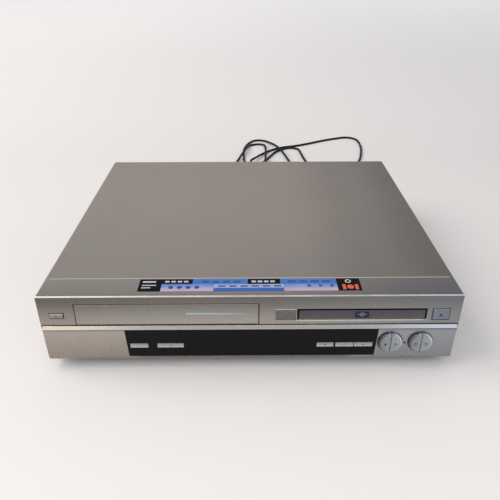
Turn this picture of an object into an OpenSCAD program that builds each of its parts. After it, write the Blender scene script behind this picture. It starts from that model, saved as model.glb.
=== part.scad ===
// Silver component player with a video cassette deck on the left and a disc
// tray on the right. Millimetres. X across the front, Y to the back, Z up.
// The origin is on the surface that the feet stand on, under the middle.

/* [Body] */
// Width across the front panel and the cover
body_w = 435; // [400:1:530]
// Depth from the front face to the back edge of the cover
body_d = 360; // [340:1:440]
// Height of the top above the surface it stands on
body_h = 96; // [94:1:120]
// Height of the feet
foot_h = 10.5; // [8:0.5:12]
// Radius of a foot where it meets the chassis
foot_r = 20; // [14:1:24]
// Thickness of the chassis sheet
sheet_t = 1; // [0.8:0.1:1.4]
// Thickness of the cover sheet
cover_t = 0.8; // [0.6:0.1:1.2]
// Radius of the long top edges of the cover
cover_r = 2; // [1.5:0.5:7]
// Width of a cooling slot
vent_w = 2.5; // [2:0.25:4]
// Distance from one cooling slot to the next
vent_pitch = 7; // [5:0.5:10]

/* [Front panel] */
// Wall of the moulded front panel
panel_wall = 3; // [2.5:0.1:3.5]
// Depth of the panel's ledge over the top
panel_ledge = 30.5; // [24:0.5:36]
// Radius of the rounded lower lip
lip_r = 5; // [4:0.5:6]
// How far the upper face sweeps forward down to the trim strip
face_sweep = 2; // [1:0.25:3]
// Height of the bright trim strip
trim_h = 5; // [4:0.5:7]
// How far the trim strip stands in front of the lower face
trim_proud = 2; // [1:0.25:3]
// Width of the shadow grooves above and below the trim strip
trim_groove = 0.8; // [0.5:0.1:1]
// Width of the smoked window along its top edge
window_w = 266.6; // [250:0.1:280]
// Thickness of the smoked window
window_t = 1.8; // [1.5:0.1:2.2]

/* [Cassette deck] */
// Width of a cassette
cassette_w = 188; // [170:1:226]
// Height of a cassette
cassette_h = 25; // [23:0.5:26]
// How far the holder carries a cassette inwards
holder_in = 50; // [40:1:54]
// How far the holder lowers a cassette onto the reels
holder_drop = 26; // [22:1:27]
// Radius of the head drum
drum_r = 31; // [27:0.5:33]
// Lean of the head drum, in degrees
drum_tilt = 5.6; // [3:0.1:7]
// Distance between the reel axes
reel_gap = 92; // [88:1:98]
// Radius of a reel table
reel_r = 22; // [18:1:24]
// Radius of the pinch roller
pinch_r = 7; // [6:0.25:8]

/* [Disc loader] */
// Width of the disc tray without its side ribs
tray_w = 128; // [124:1:154]
// Length of the disc tray
tray_l = 158; // [150:1:162]
// Module of the rack and of the drive gear
gear_module = 1; // [0.8:0.1:1.2]
// Teeth of the drive gear
gear_teeth = 20; // [18:1:24]
// Angle by which the laser carrier hangs lowered, in degrees
lift_angle = 6; // [5.8:0.1:6.5]

/* [Buttons] */
// Travel of every button
button_travel = 0.6; // [0.4:0.1:0.8]
// Radius of the two split round buttons
round_r = 12.6; // [10:0.1:13]
// How far the round buttons stand in front of the lower face
round_proud = 4; // [1:0.25:5]
// Gap between a window button and its hole
button_gap = 0.35; // [0.2:0.05:0.5]
// Gap round the buttons of the silver panel
face_button_gap = 0.8; // [0.5:0.1:1]

/* [Rear sockets] */
// How far the phono sockets stand behind the cover's back edge
socket_proud = 9; // [6:0.5:10]
// Radius of a phono socket's barrel
phono_r = 4.15; // [4:0.05:4.3]

/* [Mains lead] */
// Diameter of the mains lead
cord_dia = 4.6; // [4:0.2:5.4]
// Length of the tapered strain relief behind the rear wall
relief_l = 26; // [20:1:34]

/* [Fits] */
// Gap between fixed pieces that seat on each other
seat_gap = 0.3; // [0.2:0.05:0.4]
// Radial clearance of a pin or shaft in its bore
shaft_gap = 0.08; // [0.05:0.01:0.1]
// Gap between the cassette door and its opening
door_gap = 0.8; // [0.4:0.05:1]
// Gap above and beside the tray front
tray_front_gap = 1.7; // [0.6:0.1:2]

/* [Hidden] */
$fn = 64;

// Levels and places that follow from the sizes above. Y is measured back from
// the front face, and place(), block() and the extrusions add face_y.
front_proud = face_sweep + max(trim_proud, round_proud);
face_y = -(body_d + socket_proud - front_proud) / 2;
rear_y = body_d - 1;
side_x = body_w / 2;
panel_bottom = foot_h + 1.5;
trim_top = body_h - 36;
trim_bottom = trim_top - trim_h;
sweep_h = body_h - trim_top;
sweep_r = (sweep_h * sweep_h + face_sweep * face_sweep) / (2 * face_sweep);
trim_w = body_w - 3.4;
floor_z = foot_h + sheet_t;

window_x = 1.7;
window_slant = 1.5;
window_top = trim_bottom - 1.2;
window_bottom = 17.8;
window_back = window_t - face_sweep;
window_ledge = 2.6;
window_button_z = window_bottom + 0.43 * (window_top - window_bottom);
window_button_h = 6;

slot_w = cassette_w + 2.2;
slot_h = cassette_h + 0.8;
slot_z = body_h - 10.2 - slot_h + 0.8;
door_margin = 36.9;
deck_x = -side_x + door_margin + slot_w / 2;
door_x0 = deck_x - slot_w / 2;
door_x1 = deck_x + slot_w / 2;
hinge_y = 5.2;
hinge_z = body_h - 5.4;
hinge_pin_r = 1.2;

holder_floor = slot_z + 0.4;
deck_top = holder_floor - holder_drop - 3.6;
deck_t = 1.6;
holder_y = 87;
holder_l = 80;
holder_gap = 0.4;
holder_t = 1;
holder_half = cassette_w / 2 + holder_gap;
holder_outer = holder_half + holder_t;
bracket_gap = 2.2;
slider_gap = 0.5;
slider_t = 1.2;
bracket_t = 1.5;
deck_half = holder_outer + bracket_gap + bracket_t + 3.9;
deck_leg = deck_half - 11;
cam_pin_r = 2;
cam_gap = 0.3;
cam_pins = [[holder_y + 12, slot_z + 9.2], [holder_y + 68, slot_z + 15.2]];
reel_y = 108;
drum_y = 204;
guide_arc_r = 75;
guide_arc_x = 34.5;
guide_start = 48.8;
capstan_at = [deck_x + 62, 178];
pinch_pivot = [deck_x + 84, 196];
pinch_arm_l = 22;
pinch_rest = 174.3;

tray_slot_w = tray_w + 6;
tray_margin = 34.9;
loader_x = side_x - tray_margin - tray_slot_w / 2;
tray_z = body_h - 29;
tray_h = 8;
tray_top = tray_z + tray_h;
tray_y = 3;
tray_slot_z = tray_z - 1.8;
tray_slot_h = 14.2;
spindle_y = 70;
loader_half = tray_w / 2 + 7.5;
loader_wall = 2;
loader_base = tray_z - 29;
front_step_z = tray_z - 15;
shelf_z = tray_z - 12.3;
rail_gap = 0.3;
pitch_r = gear_module * gear_teeth / 2;
gear_at = [-tray_w / 2 + 7 + pitch_r, 22];
traverse_y = 168;
traverse_z = tray_z - 12;
traverse_half = 48;
pivot_r = 2;
rod_x = 24;
rod_r = 1.5;
rod_z = tray_z - 5.5;
lens_y = spindle_y + 23;

switch_y = 9;
control_y = 12.5;
board_t = 1.6;
cord_r = cord_dia / 2;
relief_x = side_x - 62;
relief_z = 27;

steel = "#b9bcbf";
zinc = "#c9ccd0";
silver_plastic = "#a9a6a1";
black_plastic = "#17181a";
grey_plastic = "#5a5c60";
green_board = "#2d5a3a";

// ---- Helpers ----
module place(x, y, z) translate([x, face_y + y, z]) children();

module block(low, high)
    place(low.x, low.y, low.z) cube([high.x - low.x, high.y - low.y, high.z - low.z]);

// A side outline, drawn as (back from the face, height), run across from x0 to x1
module along_x(x0, x1)
    place(x0, 0, 0) rotate([90, 0, 90]) linear_extrude(x1 - x0) children();

// A front outline, drawn as (x, height), run back from y0 to y1
module along_y(y0, y1)
    place(0, y1, 0) rotate([90, 0, 0]) linear_extrude(y1 - y0) children();

// A plan outline, drawn as (x, back from the face), run up from z0 to z1
module along_z(z0, z1)
    place(0, 0, z0) linear_extrude(z1 - z0) children();

module post(x, y, z0, z1, r) place(x, y, z0) cylinder(h = z1 - z0, r = r);

module bar_x(x0, x1, y, z, r) place(x0, y, z) rotate([0, 90, 0]) cylinder(h = x1 - x0, r = r);

module bar_y(x, y0, y1, z, r) place(x, y0, z) rotate([-90, 0, 0]) cylinder(h = y1 - y0, r = r);

module rounded(size, r)
    union() {
        translate([r, 0]) square([size.x - 2 * r, size.y]);
        translate([0, r]) square([size.x, size.y - 2 * r]);
        for (x = [r, size.x - r], y = [r, size.y - r]) translate([x, y]) circle(r);
    }

// A slot with round ends between two points that share an x or a y
module slot_2d(a, b, r)
    union() {
        translate(a) circle(r);
        translate(b) circle(r);
        translate([min(a.x, b.x) - (a.x == b.x ? r : 0), min(a.y, b.y) - (a.y == b.y ? r : 0)])
            square([abs(a.x - b.x) + (a.x == b.x ? 2 * r : 0),
                    abs(a.y - b.y) + (a.y == b.y ? 2 * r : 0)]);
    }

module ring_2d(outer, inner) difference() { circle(outer); circle(inner); }

// ---- The front face that the doors and buttons follow ----
function face_at(z) = z < trim_top ? -face_sweep
    : -sweep_r + sqrt(sweep_r * sweep_r - (body_h - z) * (body_h - z));

module face_outline(inset, depth)
    difference() {
        translate([inset - face_sweep, panel_bottom + inset])
            square([depth + face_sweep - inset, body_h - panel_bottom - 2 * inset]);
        translate([-sweep_r, body_h]) circle(sweep_r + inset, $fn = 360);
        translate([-face_sweep, panel_bottom]) difference() {
            translate([-1, -1]) square(lip_r + 1);
            translate([lip_r, lip_r]) circle(max(lip_r - inset, 1));
        }
        if (inset == 0) translate([0, body_h]) rotate(45) square(1.7, center = true);
    }

// A piece of the front between two corners, from its shifted face to a flat back
module face_block(low, high, back, proud = 0)
    intersection() {
        along_x(low[0], high[0]) translate([-proud, 0]) face_outline(0, 60);
        block([low[0] - 1, -20, low[1]], [high[0] + 1, back, high[1]]);
    }

// What a shallow pocket of even depth takes out of the front
module face_pocket(low, high, depth)
    difference() {
        block([low[0], -20, low[1]], [high[0], 20, high[1]]);
        along_x(low[0] - 1, high[0] + 1) translate([depth, 0]) face_outline(0, 60);
    }

// What a bevel takes off a horizontal edge of a piece that follows the face
module face_bevel(x0, x1, z, size)
    place(x0 - 1, face_at(z), z) rotate([45, 0, 0])
        translate([0, -size * 0.7, -size * 0.7]) cube([x1 - x0 + 2, size * 1.4, size * 1.4]);

module window_outline(grow)
    translate([window_x, 0])
        polygon([
            [-window_w / 2 - grow, window_top + grow],
            [window_w / 2 + grow, window_top + grow],
            [window_w / 2 - window_slant + grow, window_bottom - grow],
            [-window_w / 2 + window_slant - grow, window_bottom - grow]
        ]);

function mid(span) = (span[0] + span[1]) / 2;

// ---- Places of the front's buttons: x0, x1 ----
source_span = [-127.2, -108.4];
eject_span = [-98.5, -70.6];
record_span = [70.8, 88.7];
channel_down_span = [90.7, 109.9];
channel_up_span = [110.7, 130.1];
window_spans = [source_span, eject_span, record_span, channel_down_span, channel_up_span];
round_x = [side_x - 69, side_x - 36.8];
round_z = window_button_z + 3.4;
rim_r = 2.4;
round_depth = face_sweep + round_proud + 2.2;
led_at = [side_x - 52.9, window_button_z + 1.6];
power_low = [-side_x + 11.5, body_h - 26.3];
power_high = [-side_x + 25.2, body_h - 21];
open_low = [side_x - 28.8, body_h - 30.3];
open_high = [side_x - 11.9, body_h - 17.5];
recess_low = [door_x1 + 0.43 * (loader_x - tray_slot_w / 2 - door_x1), body_h - 30];
recess_high = [loader_x - tray_slot_w / 2 - 1, body_h - 17.7];

// ---- Casing ----
module front_panel()
    color(silver_plastic) {
        difference() {
            intersection() {
                along_x(-side_x, side_x) face_outline(0, panel_ledge);
                along_z(0, body_h + 1)
                    translate([-side_x, -face_sweep - 0.2]) rounded([body_w, panel_ledge + 10], 1.7);
                // The ends of the ledge carry on the rounded edges of the cover
                along_y(-face_sweep - 5, panel_ledge + 5)
                    translate([-side_x - 0.1, 0]) rounded([body_w + 0.2, body_h + 0.1], cover_r + 0.1);
            }
            along_x(-side_x + panel_wall, side_x - panel_wall)
                face_outline(panel_wall, panel_ledge + 10);
            block([-side_x + panel_wall, 16, 0], [side_x - panel_wall, 40, panel_bottom + 5]);
            block([door_x0, -20, slot_z], [door_x1, 12, slot_z + slot_h]);
            block([loader_x - tray_slot_w / 2, -20, tray_slot_z],
                  [loader_x + tray_slot_w / 2, 12, tray_slot_z + tray_slot_h]);
            face_pocket(recess_low, recess_high, 1);
            button_hole(power_low, power_high);
            button_hole(open_low, open_high);
            along_y(-20, window_back) window_outline(0.1);
            along_y(-1, 12) window_outline(-window_ledge);
            for (x = round_x) bar_y(x, -20, 12, round_z, round_r + face_button_gap);
            bar_y(led_at[0], -20, 12, led_at[1], 1.4);
            block([-trim_w / 2 + 3, -20, trim_bottom + 0.9],
                  [trim_w / 2 - 3, 0.8 - face_sweep, trim_top - 0.9]);
            for (z = [trim_bottom - trim_groove, trim_top])
                block([-trim_w / 2 + 0.6, -20, z],
                      [trim_w / 2 - 0.6, 1.2 - face_sweep, z + trim_groove]);
        }
        // Ribs of the recess beside the tray
        for (i = [0 : 3]) intersection() {
            face_block([recess_low[0] + 1, recess_low[1] + 2.2 + 2.9 * i],
                       [recess_high[0] - 1, recess_low[1] + 3 + 2.9 * i], 2, -0.4);
            block([-side_x, -20, 0], [side_x, 2, body_h]);
        }
        for (boss = panel_bosses) bar_y(boss[0], 0.5, control_y, boss[1], boss[2]);
        // Ears that carry the cassette door's pins
        for (x = [door_x0 - 4.2, door_x1 + 1.2]) difference() {
            block([x, 1, hinge_z - 3.4], [x + 3, hinge_y + 4, body_h - panel_wall + 0.5]);
            bar_x(x - 1, x + 4, hinge_y, hinge_z, hinge_pin_r + shaft_gap);
        }
        // Tongue under the cover's front edge
        block([-side_x + 12, panel_ledge - 2, body_h - 3.6],
              [side_x - 12, panel_ledge + 8, body_h - cover_t - 0.6]);
    }

// Bosses that carry the boards behind the panel: x, height and radius
panel_bosses = [
    [-side_x + 67.5, window_bottom + 6.2, 3], [-side_x + 67.5, window_top - 8.8, 3],
    [side_x - 17.5, window_bottom + 4.2, 3], [side_x - 17.5, window_top - 8.8, 3],
    [mid([power_low.x, power_high.x]), power_low.y - 9, 2],
    [mid([open_low.x, open_high.x]), open_low.y - 4.8, 2]
];

module button_hole(low, high)
    block([low[0] - face_button_gap, -20, low[1] - face_button_gap],
          [high[0] + face_button_gap, 12, high[1] + face_button_gap]);

module trim_strip()
    color("#dcdad6") {
        along_x(-trim_w / 2, trim_w / 2)
            polygon([
                [-face_sweep, trim_bottom],
                [-face_sweep - trim_proud, trim_bottom + 0.9],
                [-face_sweep - trim_proud, trim_bottom + 1.5],
                [-face_sweep, trim_top]
            ]);
        block([-trim_w / 2 + 3.1, -face_sweep, trim_bottom + 1],
              [trim_w / 2 - 3.1, 0.8 - face_sweep, trim_top - 1]);
    }

module window_panel()
    color(black_plastic) difference() {
        along_y(-face_sweep, window_back) window_outline(0);
        for (span = window_spans)
            block([span[0] - button_gap, -20, window_button_z - window_button_h / 2 - button_gap],
                  [span[1] + button_gap, 12, window_button_z + window_button_h / 2 + button_gap]);
    }

module cover_outline(inset)
    union() {
        translate([-side_x + inset, panel_bottom + 0.5 + (inset > 0 ? -1 : 0)])
            square([body_w - 2 * inset,
                    body_h - panel_bottom - 0.5 - cover_r + (inset > 0 ? 1 : 0)]);
        translate([-side_x + cover_r, panel_bottom + 0.5 + (inset > 0 ? -1 : 0)])
            square([body_w - 2 * cover_r,
                    body_h - panel_bottom - 0.5 - inset + (inset > 0 ? 1 : 0)]);
        for (x = [-side_x + cover_r, side_x - cover_r])
            translate([x, body_h - cover_r]) circle(cover_r - inset);
    }

side_vents = [for (y = [body_d - 190 : vent_pitch : body_d - 40]) y];

module top_cover()
    color(silver_plastic) difference() {
        union() {
            difference() {
                along_y(panel_ledge + 0.3, body_d) cover_outline(0);
                along_y(0, body_d + 1) cover_outline(cover_t);
            }
            block([-side_x + cover_r, body_d - cover_t, body_h - 12],
                  [side_x - cover_r, body_d, body_h - cover_t / 2]);
        }
        for (y = side_vents)
            along_x(-side_x - 1, side_x + 1)
                slot_2d([y, body_h * 0.42], [y, body_h * 0.64], vent_w / 2);
        for (x = rear_screw_x) bar_y(x, body_d - 3, body_d + 1, body_h - 7, 1.7);
        for (y = side_screw_y) bar_x(-side_x - 1, side_x + 1, y, side_screw_z, 1.7);
    }

rear_screw_x = [-side_x + 20, 0, side_x - 20];
side_screw_y = [70, body_d - 30];
side_screw_z = floor_z + 12;

module screw(length)
    rotate_extrude() polygon([
        [0, -1.2], [2.4, -1.2], [3.4, -0.5], [3.4, 0], [1.45, 0], [1.45, length], [0, length]
    ]);

module cover_screws()
    color(zinc) {
        for (x = rear_screw_x) place(x, body_d, body_h - 7) rotate([90, 0, 0]) screw(2.8);
        for (y = side_screw_y) {
            place(-side_x, y, side_screw_z) rotate([0, 90, 0]) screw(3);
            place(side_x, y, side_screw_z) rotate([0, -90, 0]) screw(3);
        }
    }

chassis_half = side_x - cover_t - 0.5;
chassis_front = 16 + seat_gap;
tab_half = side_x - panel_wall - seat_gap;
rear_top_half = side_x - cover_r - 0.5;
cable_x = [-26, -2];
scart_x = [-48, 16];
scart_z = 44;
phono_x = [56, 72, 88, 112, 128];
phono_z = 46;
svideo_at = [-92, 46];
optical_at = [-114, 46];
aerial_x = side_x - 62.5;
aerial_z = [62, 38];

module chassis_base()
    color(steel) difference() {
        union() {
            block([-chassis_half, panel_ledge + 0.5, foot_h], [chassis_half, rear_y, floor_z]);
            block([-tab_half, chassis_front, foot_h], [tab_half, panel_ledge + 1, floor_z]);
            block([-tab_half, chassis_front, foot_h],
                  [tab_half, chassis_front + sheet_t, floor_z + 14]);
            for (x = [-chassis_half, chassis_half - sheet_t])
                block([x, panel_ledge + 0.5, foot_h], [x + sheet_t, rear_y, floor_z + 20]);
            block([-chassis_half, rear_y - sheet_t, foot_h],
                  [chassis_half, rear_y, body_h - cover_r - 1]);
            block([-rear_top_half, rear_y - sheet_t, foot_h],
                  [rear_top_half, rear_y, body_h - cover_t - seat_gap]);
            block([-rear_top_half, rear_y - 12, body_h - cover_t - seat_gap - sheet_t],
                  [rear_top_half, rear_y, body_h - cover_t - seat_gap]);
            for (at = board_posts) post(at.x, at.y, floor_z - 0.2, board_z, 3.2);
            // Pressed ribs that stiffen the floor
            for (x = [-side_x * 0.62, side_x * 0.06, side_x * 0.68])
                block([x - 4, 60, floor_z - 0.2], [x + 4, 210, floor_z + 1.6]);
        }
        // Notch for the flat cable
        block([cable_x[0] - 3, chassis_front - 1, floor_z + 1], [cable_x[1] + 3, 20, floor_z + 15]);
        for (row = [0 : 1], i = [0 : 13])
            along_z(foot_h - 1, floor_z + 1)
                slot_2d([side_x * 0.30 + i * vent_pitch, 226 + row * 52],
                        [side_x * 0.30 + i * vent_pitch, 252 + row * 52], vent_w / 2);
        for (x = rear_screw_x) bar_y(x, rear_y - 3, rear_y + 1, body_h - 7, 1.55);
        for (y = side_screw_y) bar_x(-side_x, side_x, y, side_screw_z, 1.55);
        for (x = scart_x) along_y(rear_y - 4, rear_y + 1)
            translate([x - 24, scart_z - 8]) rounded([48, 16], 2);
        for (x = phono_x) bar_y(x, rear_y - 4, rear_y + 1, phono_z, phono_r + 2.6);
        bar_y(svideo_at[0], rear_y - 4, rear_y + 1, svideo_at[1], 6.3);
        along_y(rear_y - 4, rear_y + 1)
            translate([optical_at[0] - 5.3, optical_at[1] - 5.8]) square([10.6, 11.6]);
        for (z = aerial_z) bar_y(-aerial_x, rear_y - 4, rear_y + 1, z, 5.6);
        bar_y(relief_x, rear_y - 4, rear_y + 1, relief_z, 5.3);
        // Cooling slots of the rear wall behind the power supply
        for (i = [0 : 8]) along_y(rear_y - 4, rear_y + 1)
            slot_2d([side_x - 30 - i * vent_pitch, body_h - 34],
                    [side_x - 30 - i * vent_pitch, body_h - 22], vent_w / 2);
    }

module feet()
    color(black_plastic)
        for (x = [-side_x + 42, side_x - 42], y = [58, body_d - 46])
            place(x, y, 0) rotate_extrude() polygon([
                [0, 2], [foot_r - 8, 2], [foot_r - 7, 0], [foot_r - 3.5, 0], [foot_r - 2.6, 0.8],
                [foot_r, foot_h - 2], [foot_r, foot_h], [0, foot_h]
            ]);

// ---- Cassette door ----
module cassette_door()
    color(silver_plastic) {
        x0 = door_x0 + door_gap;
        x1 = door_x1 - door_gap;
        difference() {
            face_block([x0, slot_z + trim_groove + 0.1], [x1, slot_z + slot_h - door_gap], 1.4);
            face_bevel(x0, x1, slot_z + slot_h - door_gap, 0.9);
        }
        for (x = [x0 + 0.4, x1 - 2.9]) {
            along_x(x, x + 2.5) union() {
                polygon([
                    [1.2, hinge_z - 17], [1.2, hinge_z - 6.8], [hinge_y - 1.6, hinge_z - 4.6],
                    [hinge_y - 1.6, hinge_z], [hinge_y + 1.6, hinge_z], [hinge_y + 1.4, hinge_z - 2],
                    [hinge_y - 0.2, hinge_z - 8],
                    [3.4, hinge_z - 17]
                ]);
                translate([hinge_y, hinge_z]) circle(1.6);
            }
        }
        bar_x(x0 - 8.6, x0 + 1, hinge_y, hinge_z, hinge_pin_r);
        bar_x(x1 - 1, x1 + 4.4, hinge_y, hinge_z, hinge_pin_r);
    }

// Coil of the spring that shuts the door, round the end of its pin
module door_spring()
    color(zinc) place(door_x0 - 4.5, hinge_y, hinge_z) rotate([0, -90, 0]) rotate_extrude() union() {
        for (i = [0 : 4]) translate([hinge_pin_r + 0.55, 0.4 + i * 0.6]) circle(0.36);
        translate([hinge_pin_r + 0.4, 0.4]) square([0.3, 4 * 0.6]);
    }

// ---- Buttons ----
module window_button(span)
    color("#c6c8cb") {
        z0 = window_button_z - window_button_h / 2;
        z1 = window_button_z + window_button_h / 2;
        difference() {
            block([span[0], -face_sweep - 1, z0], [span[1], window_back + 0.6, z1]);
            // Softened front edges
            for (z = [z0, z1]) place(mid(span), -face_sweep - 1, z) rotate([45, 0, 0])
                cube([span[1] - span[0] + 2, 0.7, 0.7], center = true);
        }
        block([span[0] + 0.2, window_back + seat_gap, z0 - 1.2],
              [span[1] - 0.2, window_back + seat_gap + 1, z1 + 1.2]);
        bar_y(mid(span), window_back + 0.8, switch_y - button_travel - 0.2,
              window_button_z, 1.6);
    }

module face_button(low, high, proud, bevel)
    color("#b4bac2") {
        difference() {
            face_block(low, high, 3.4, proud);
            for (z = [low[1], high[1]])
                translate([0, -proud, 0]) face_bevel(low[0], high[0], z, bevel);
        }
        block([low[0] - 1.4, panel_wall + seat_gap, low[1] - 1.4],
              [high[0] + 1.4, panel_wall + seat_gap + 1, high[1] + 1.4]);
        bar_y(mid([low[0], high[0]]), 4, switch_y - button_travel - 0.2, mid([low[1], high[1]]), 1.6);
    }

// One half of a split round button; side is -1 for the left half, 1 for the right
module half_button(x, side)
    color("#b9bcc0") {
        difference() {
            place(x, -face_sweep - round_proud, round_z) rotate([-90, 0, 0]) rotate_extrude() union() {
                square([round_r - rim_r, round_depth]);
                translate([0, rim_r]) square([round_r, round_depth - rim_r]);
                translate([round_r - rim_r, rim_r]) circle(rim_r);
                translate([0, round_depth - 1]) square([round_r + 1.5, 1]);
            }
            place(x, 0, round_z) translate([side > 0 ? -40 + 0.35 : -0.35, -20, -20]) cube([40, 40, 40]);
        }
        bar_y(x + side * round_r * 0.5, 1.5, switch_y - button_travel - 0.2, round_z, 1.6);
    }

// ---- Disc loader ----
module tray_front()
    color(grey_plastic) {
        z0 = tray_slot_z + door_gap;
        z1 = tray_slot_z + tray_slot_h - tray_front_gap;
        x0 = loader_x - tray_slot_w / 2 + tray_front_gap;
        x1 = loader_x + tray_slot_w / 2 - tray_front_gap;
        difference() {
            face_block([x0, z0], [x1, z1], tray_y);
            face_pocket([loader_x - 9, (z0 + z1) / 2 - 2.8], [loader_x + 9, (z0 + z1) / 2 + 2.8], 0.35);
            face_bevel(x0, x1, z0, 1.7);
        }
    }

// Rack tooth profile of the tray, pointing to +x, with its pitch line on x = 0
function rack_tooth(y) =
    let (half = PI * gear_module / 4 - 0.06, slope = tan(20))
    [
        [-1.25 * gear_module - 0.5, y - half - 1.25 * gear_module * slope],
        [-1.25 * gear_module, y - half - 1.25 * gear_module * slope],
        [gear_module, y - half + gear_module * slope],
        [gear_module, y + half - gear_module * slope],
        [-1.25 * gear_module, y + half + 1.25 * gear_module * slope],
        [-1.25 * gear_module - 0.5, y + half + 1.25 * gear_module * slope]
    ];

module disc_tray()
    color("#2a2c30") {
        half = tray_w / 2;
        difference() {
            union() {
                block([loader_x - half, tray_y, tray_z], [loader_x + half, tray_y + tray_l, tray_top]);
                for (side = [-1, 1])
                    block([loader_x + (side > 0 ? half - 1 : -half - 2.2), tray_y + 7, tray_z + 2],
                          [loader_x + (side > 0 ? half + 2.2 : -half + 1), tray_y + tray_l, tray_z + 4]);
            }
            post(loader_x, spindle_y, tray_top - 2.5, tray_top + 1, 60.5);
            post(loader_x, spindle_y, tray_top - 4, tray_top + 1, 40.5);
            post(loader_x, spindle_y, tray_z - 1, tray_top, 20);
            block([loader_x - 21, spindle_y, tray_z - 1], [loader_x + 21, spindle_y + 59, tray_top]);
            block([loader_x - half + 5, tray_y + 5, tray_z - 1],
                  [loader_x + half - 4, tray_y + tray_l + 1, tray_z + 3]);
            // Finger notches at the recess rim
            for (side = [-1, 1])
                post(loader_x + side * 56, spindle_y - 46, tray_top - 4, tray_top + 1, 10);
        }
        // Rack along the left skirt
        along_z(tray_z, tray_z + 3.2) translate([loader_x - tray_w / 2 + 7, 0]) union() {
            for (i = [-3 : 43]) polygon(rack_tooth(gear_at.y + (i + 0.5) * PI * gear_module));
            translate([-2.4, tray_y + 4]) square([2.4 - 1.25 * gear_module, tray_l - 4]);
        }
    }

// Involute gear outline: each flank follows the unwinding of the base circle
gear_base = pitch_r * cos(20);
gear_tip = pitch_r + gear_module;
gear_root = pitch_r - 1.25 * gear_module;
function roll_at(r) = r <= gear_base ? 0 : sqrt(r * r / (gear_base * gear_base) - 1);
function involute_angle(r) = let (t = roll_at(r)) t * 180 / PI - atan(t);
function flank(side, at) = [
    for (i = (side < 0 ? [0 : 5] : [5 : -1 : 0]))
        let (r = max(gear_base, gear_root) + (gear_tip - max(gear_base, gear_root)) * i / 5,
             half = 90 / gear_teeth - 0.35 + involute_angle(pitch_r) - involute_angle(r),
             a = at + side * half)
        [r * cos(a), r * sin(a)]
];
function root_point(side, at) =
    let (a = at + side * (90 / gear_teeth - 0.35 + involute_angle(pitch_r)))
    [gear_root * cos(a), gear_root * sin(a)];

module gear_outline()
    polygon([
        for (k = [0 : gear_teeth - 1])
            let (at = 180 + k * 360 / gear_teeth)
            each concat([root_point(-1, at)], flank(-1, at), flank(1, at), [root_point(1, at)])
    ]);

pulley_r = 13;

module tray_gear()
    color("#e8e6dc") place(loader_x + gear_at.x, gear_at.y, 0) difference() {
        union() {
            translate([0, 0, tray_z - 0.8]) linear_extrude(2.8) gear_outline();
            translate([0, 0, tray_z - 6]) cylinder(h = 5.6, r = 8);
            // Pulley that the motor's belt would drive
            translate([0, 0, tray_z - 6]) rotate_extrude() polygon([
                [0, -4], [pulley_r, -4], [pulley_r, -3.4], [pulley_r - 1.4, -2.2],
                [pulley_r - 1.4, -1.8], [pulley_r, -0.6], [pulley_r, 0], [0, 0]
            ]);
        }
        translate([0, 0, tray_z - 12]) cylinder(h = 16, r = rod_r + shaft_gap);
        for (a = [0 : 60 : 300]) rotate(a) translate([5.4, 0, tray_z - 7]) cylinder(h = 12, r = 1.3);
    }

motor_at = [gear_at.x + 26, gear_at.y + 4];

module tray_motor()
    color(steel) place(loader_x + motor_at.x, motor_at.y, 0) union() {
        translate([0, 0, loader_base + 2]) cylinder(h = shelf_z - loader_base - 2, r = 9);
        translate([0, 0, shelf_z - 0.1]) cylinder(h = 1.6, r = 3);
        translate([0, 0, tray_z - 11.4]) cylinder(h = 9.6, r = 1);
        translate([0, 0, tray_z - 10]) cylinder(h = 4, r = 3.2);
    }

module loader_frame()
    color(grey_plastic) difference() {
        union() {
            for (side = [-1, 1]) {
                outer = loader_x + side * loader_half;
                inner = outer - side * loader_wall;
                x0 = min(outer, inner);
                x1 = max(outer, inner);
                block([x0, 16, loader_base], [x1, 188, tray_top + 5]);
                block([x0, 6, front_step_z], [x1, 17, tray_top + 5]);
                // Rails above and below the tray's rib
                edge = loader_x + side * (tray_w / 2 + 0.6);
                for (z = [[tray_z - 0.6, tray_z + 2 - rail_gap], [tray_z + 4 + rail_gap, tray_z + 6.4]])
                    block([min(edge, inner) - 0.01, 8, z[0]], [max(edge, inner) + 0.01, 172, z[1]]);
                // Ears for the traverse's pivots
                ear = loader_x + side * (traverse_half + 1);
                block([min(ear, ear + side * 4), traverse_y - 6, loader_base],
                      [max(ear, ear + side * 4), traverse_y + 6, traverse_z + 6]);
            }
            block([loader_x - loader_half, 16, loader_base],
                  [loader_x + loader_half, 188, loader_base + 2]);
            block([loader_x - loader_half, 186, loader_base],
                  [loader_x + loader_half, 188, tray_top - 2]);
            block([loader_x - loader_half, 6, front_step_z], [loader_x + loader_half, 8, tray_z - 4]);
            // Shelf and post of the tray gear
            block([loader_x - loader_half, 7, shelf_z], [loader_x + motor_at.x + 11, 36, shelf_z + 2]);
            post(loader_x + gear_at.x, gear_at.y, shelf_z + 1, tray_z + 2.4, rod_r);
            // Legs down to the chassis
            for (x = [-loader_half + 4, loader_half - 4], y = [24, 182])
                post(loader_x + x, y, floor_z, loader_base + 1, 4);
        }
        block([loader_x - traverse_half - 1, 36, loader_base - 1],
              [loader_x + traverse_half + 1, 180, loader_base + 3]);
        for (side = [-1, 1]) {
            bar_x(loader_x + side * (traverse_half + 3) - 4, loader_x + side * (traverse_half + 3) + 4,
                  traverse_y, traverse_z, pivot_r + shaft_gap);
            // Openings that lighten the side walls
            for (i = [0 : 3])
                block([loader_x + side * loader_half - 3, 46 + i * 32, loader_base + 6],
                      [loader_x + side * loader_half + 3, 66 + i * 32, tray_z - 8]);
        }
        post(loader_x + motor_at.x, motor_at.y, shelf_z - 1, shelf_z + 3, 3.3);
        // The tray passes over the front and rear walls
        block([loader_x - tray_w / 2 - 0.4, 0, tray_z - 1.2],
              [loader_x + tray_w / 2 + 0.4, 190, tray_z + 5]);
    }

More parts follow.
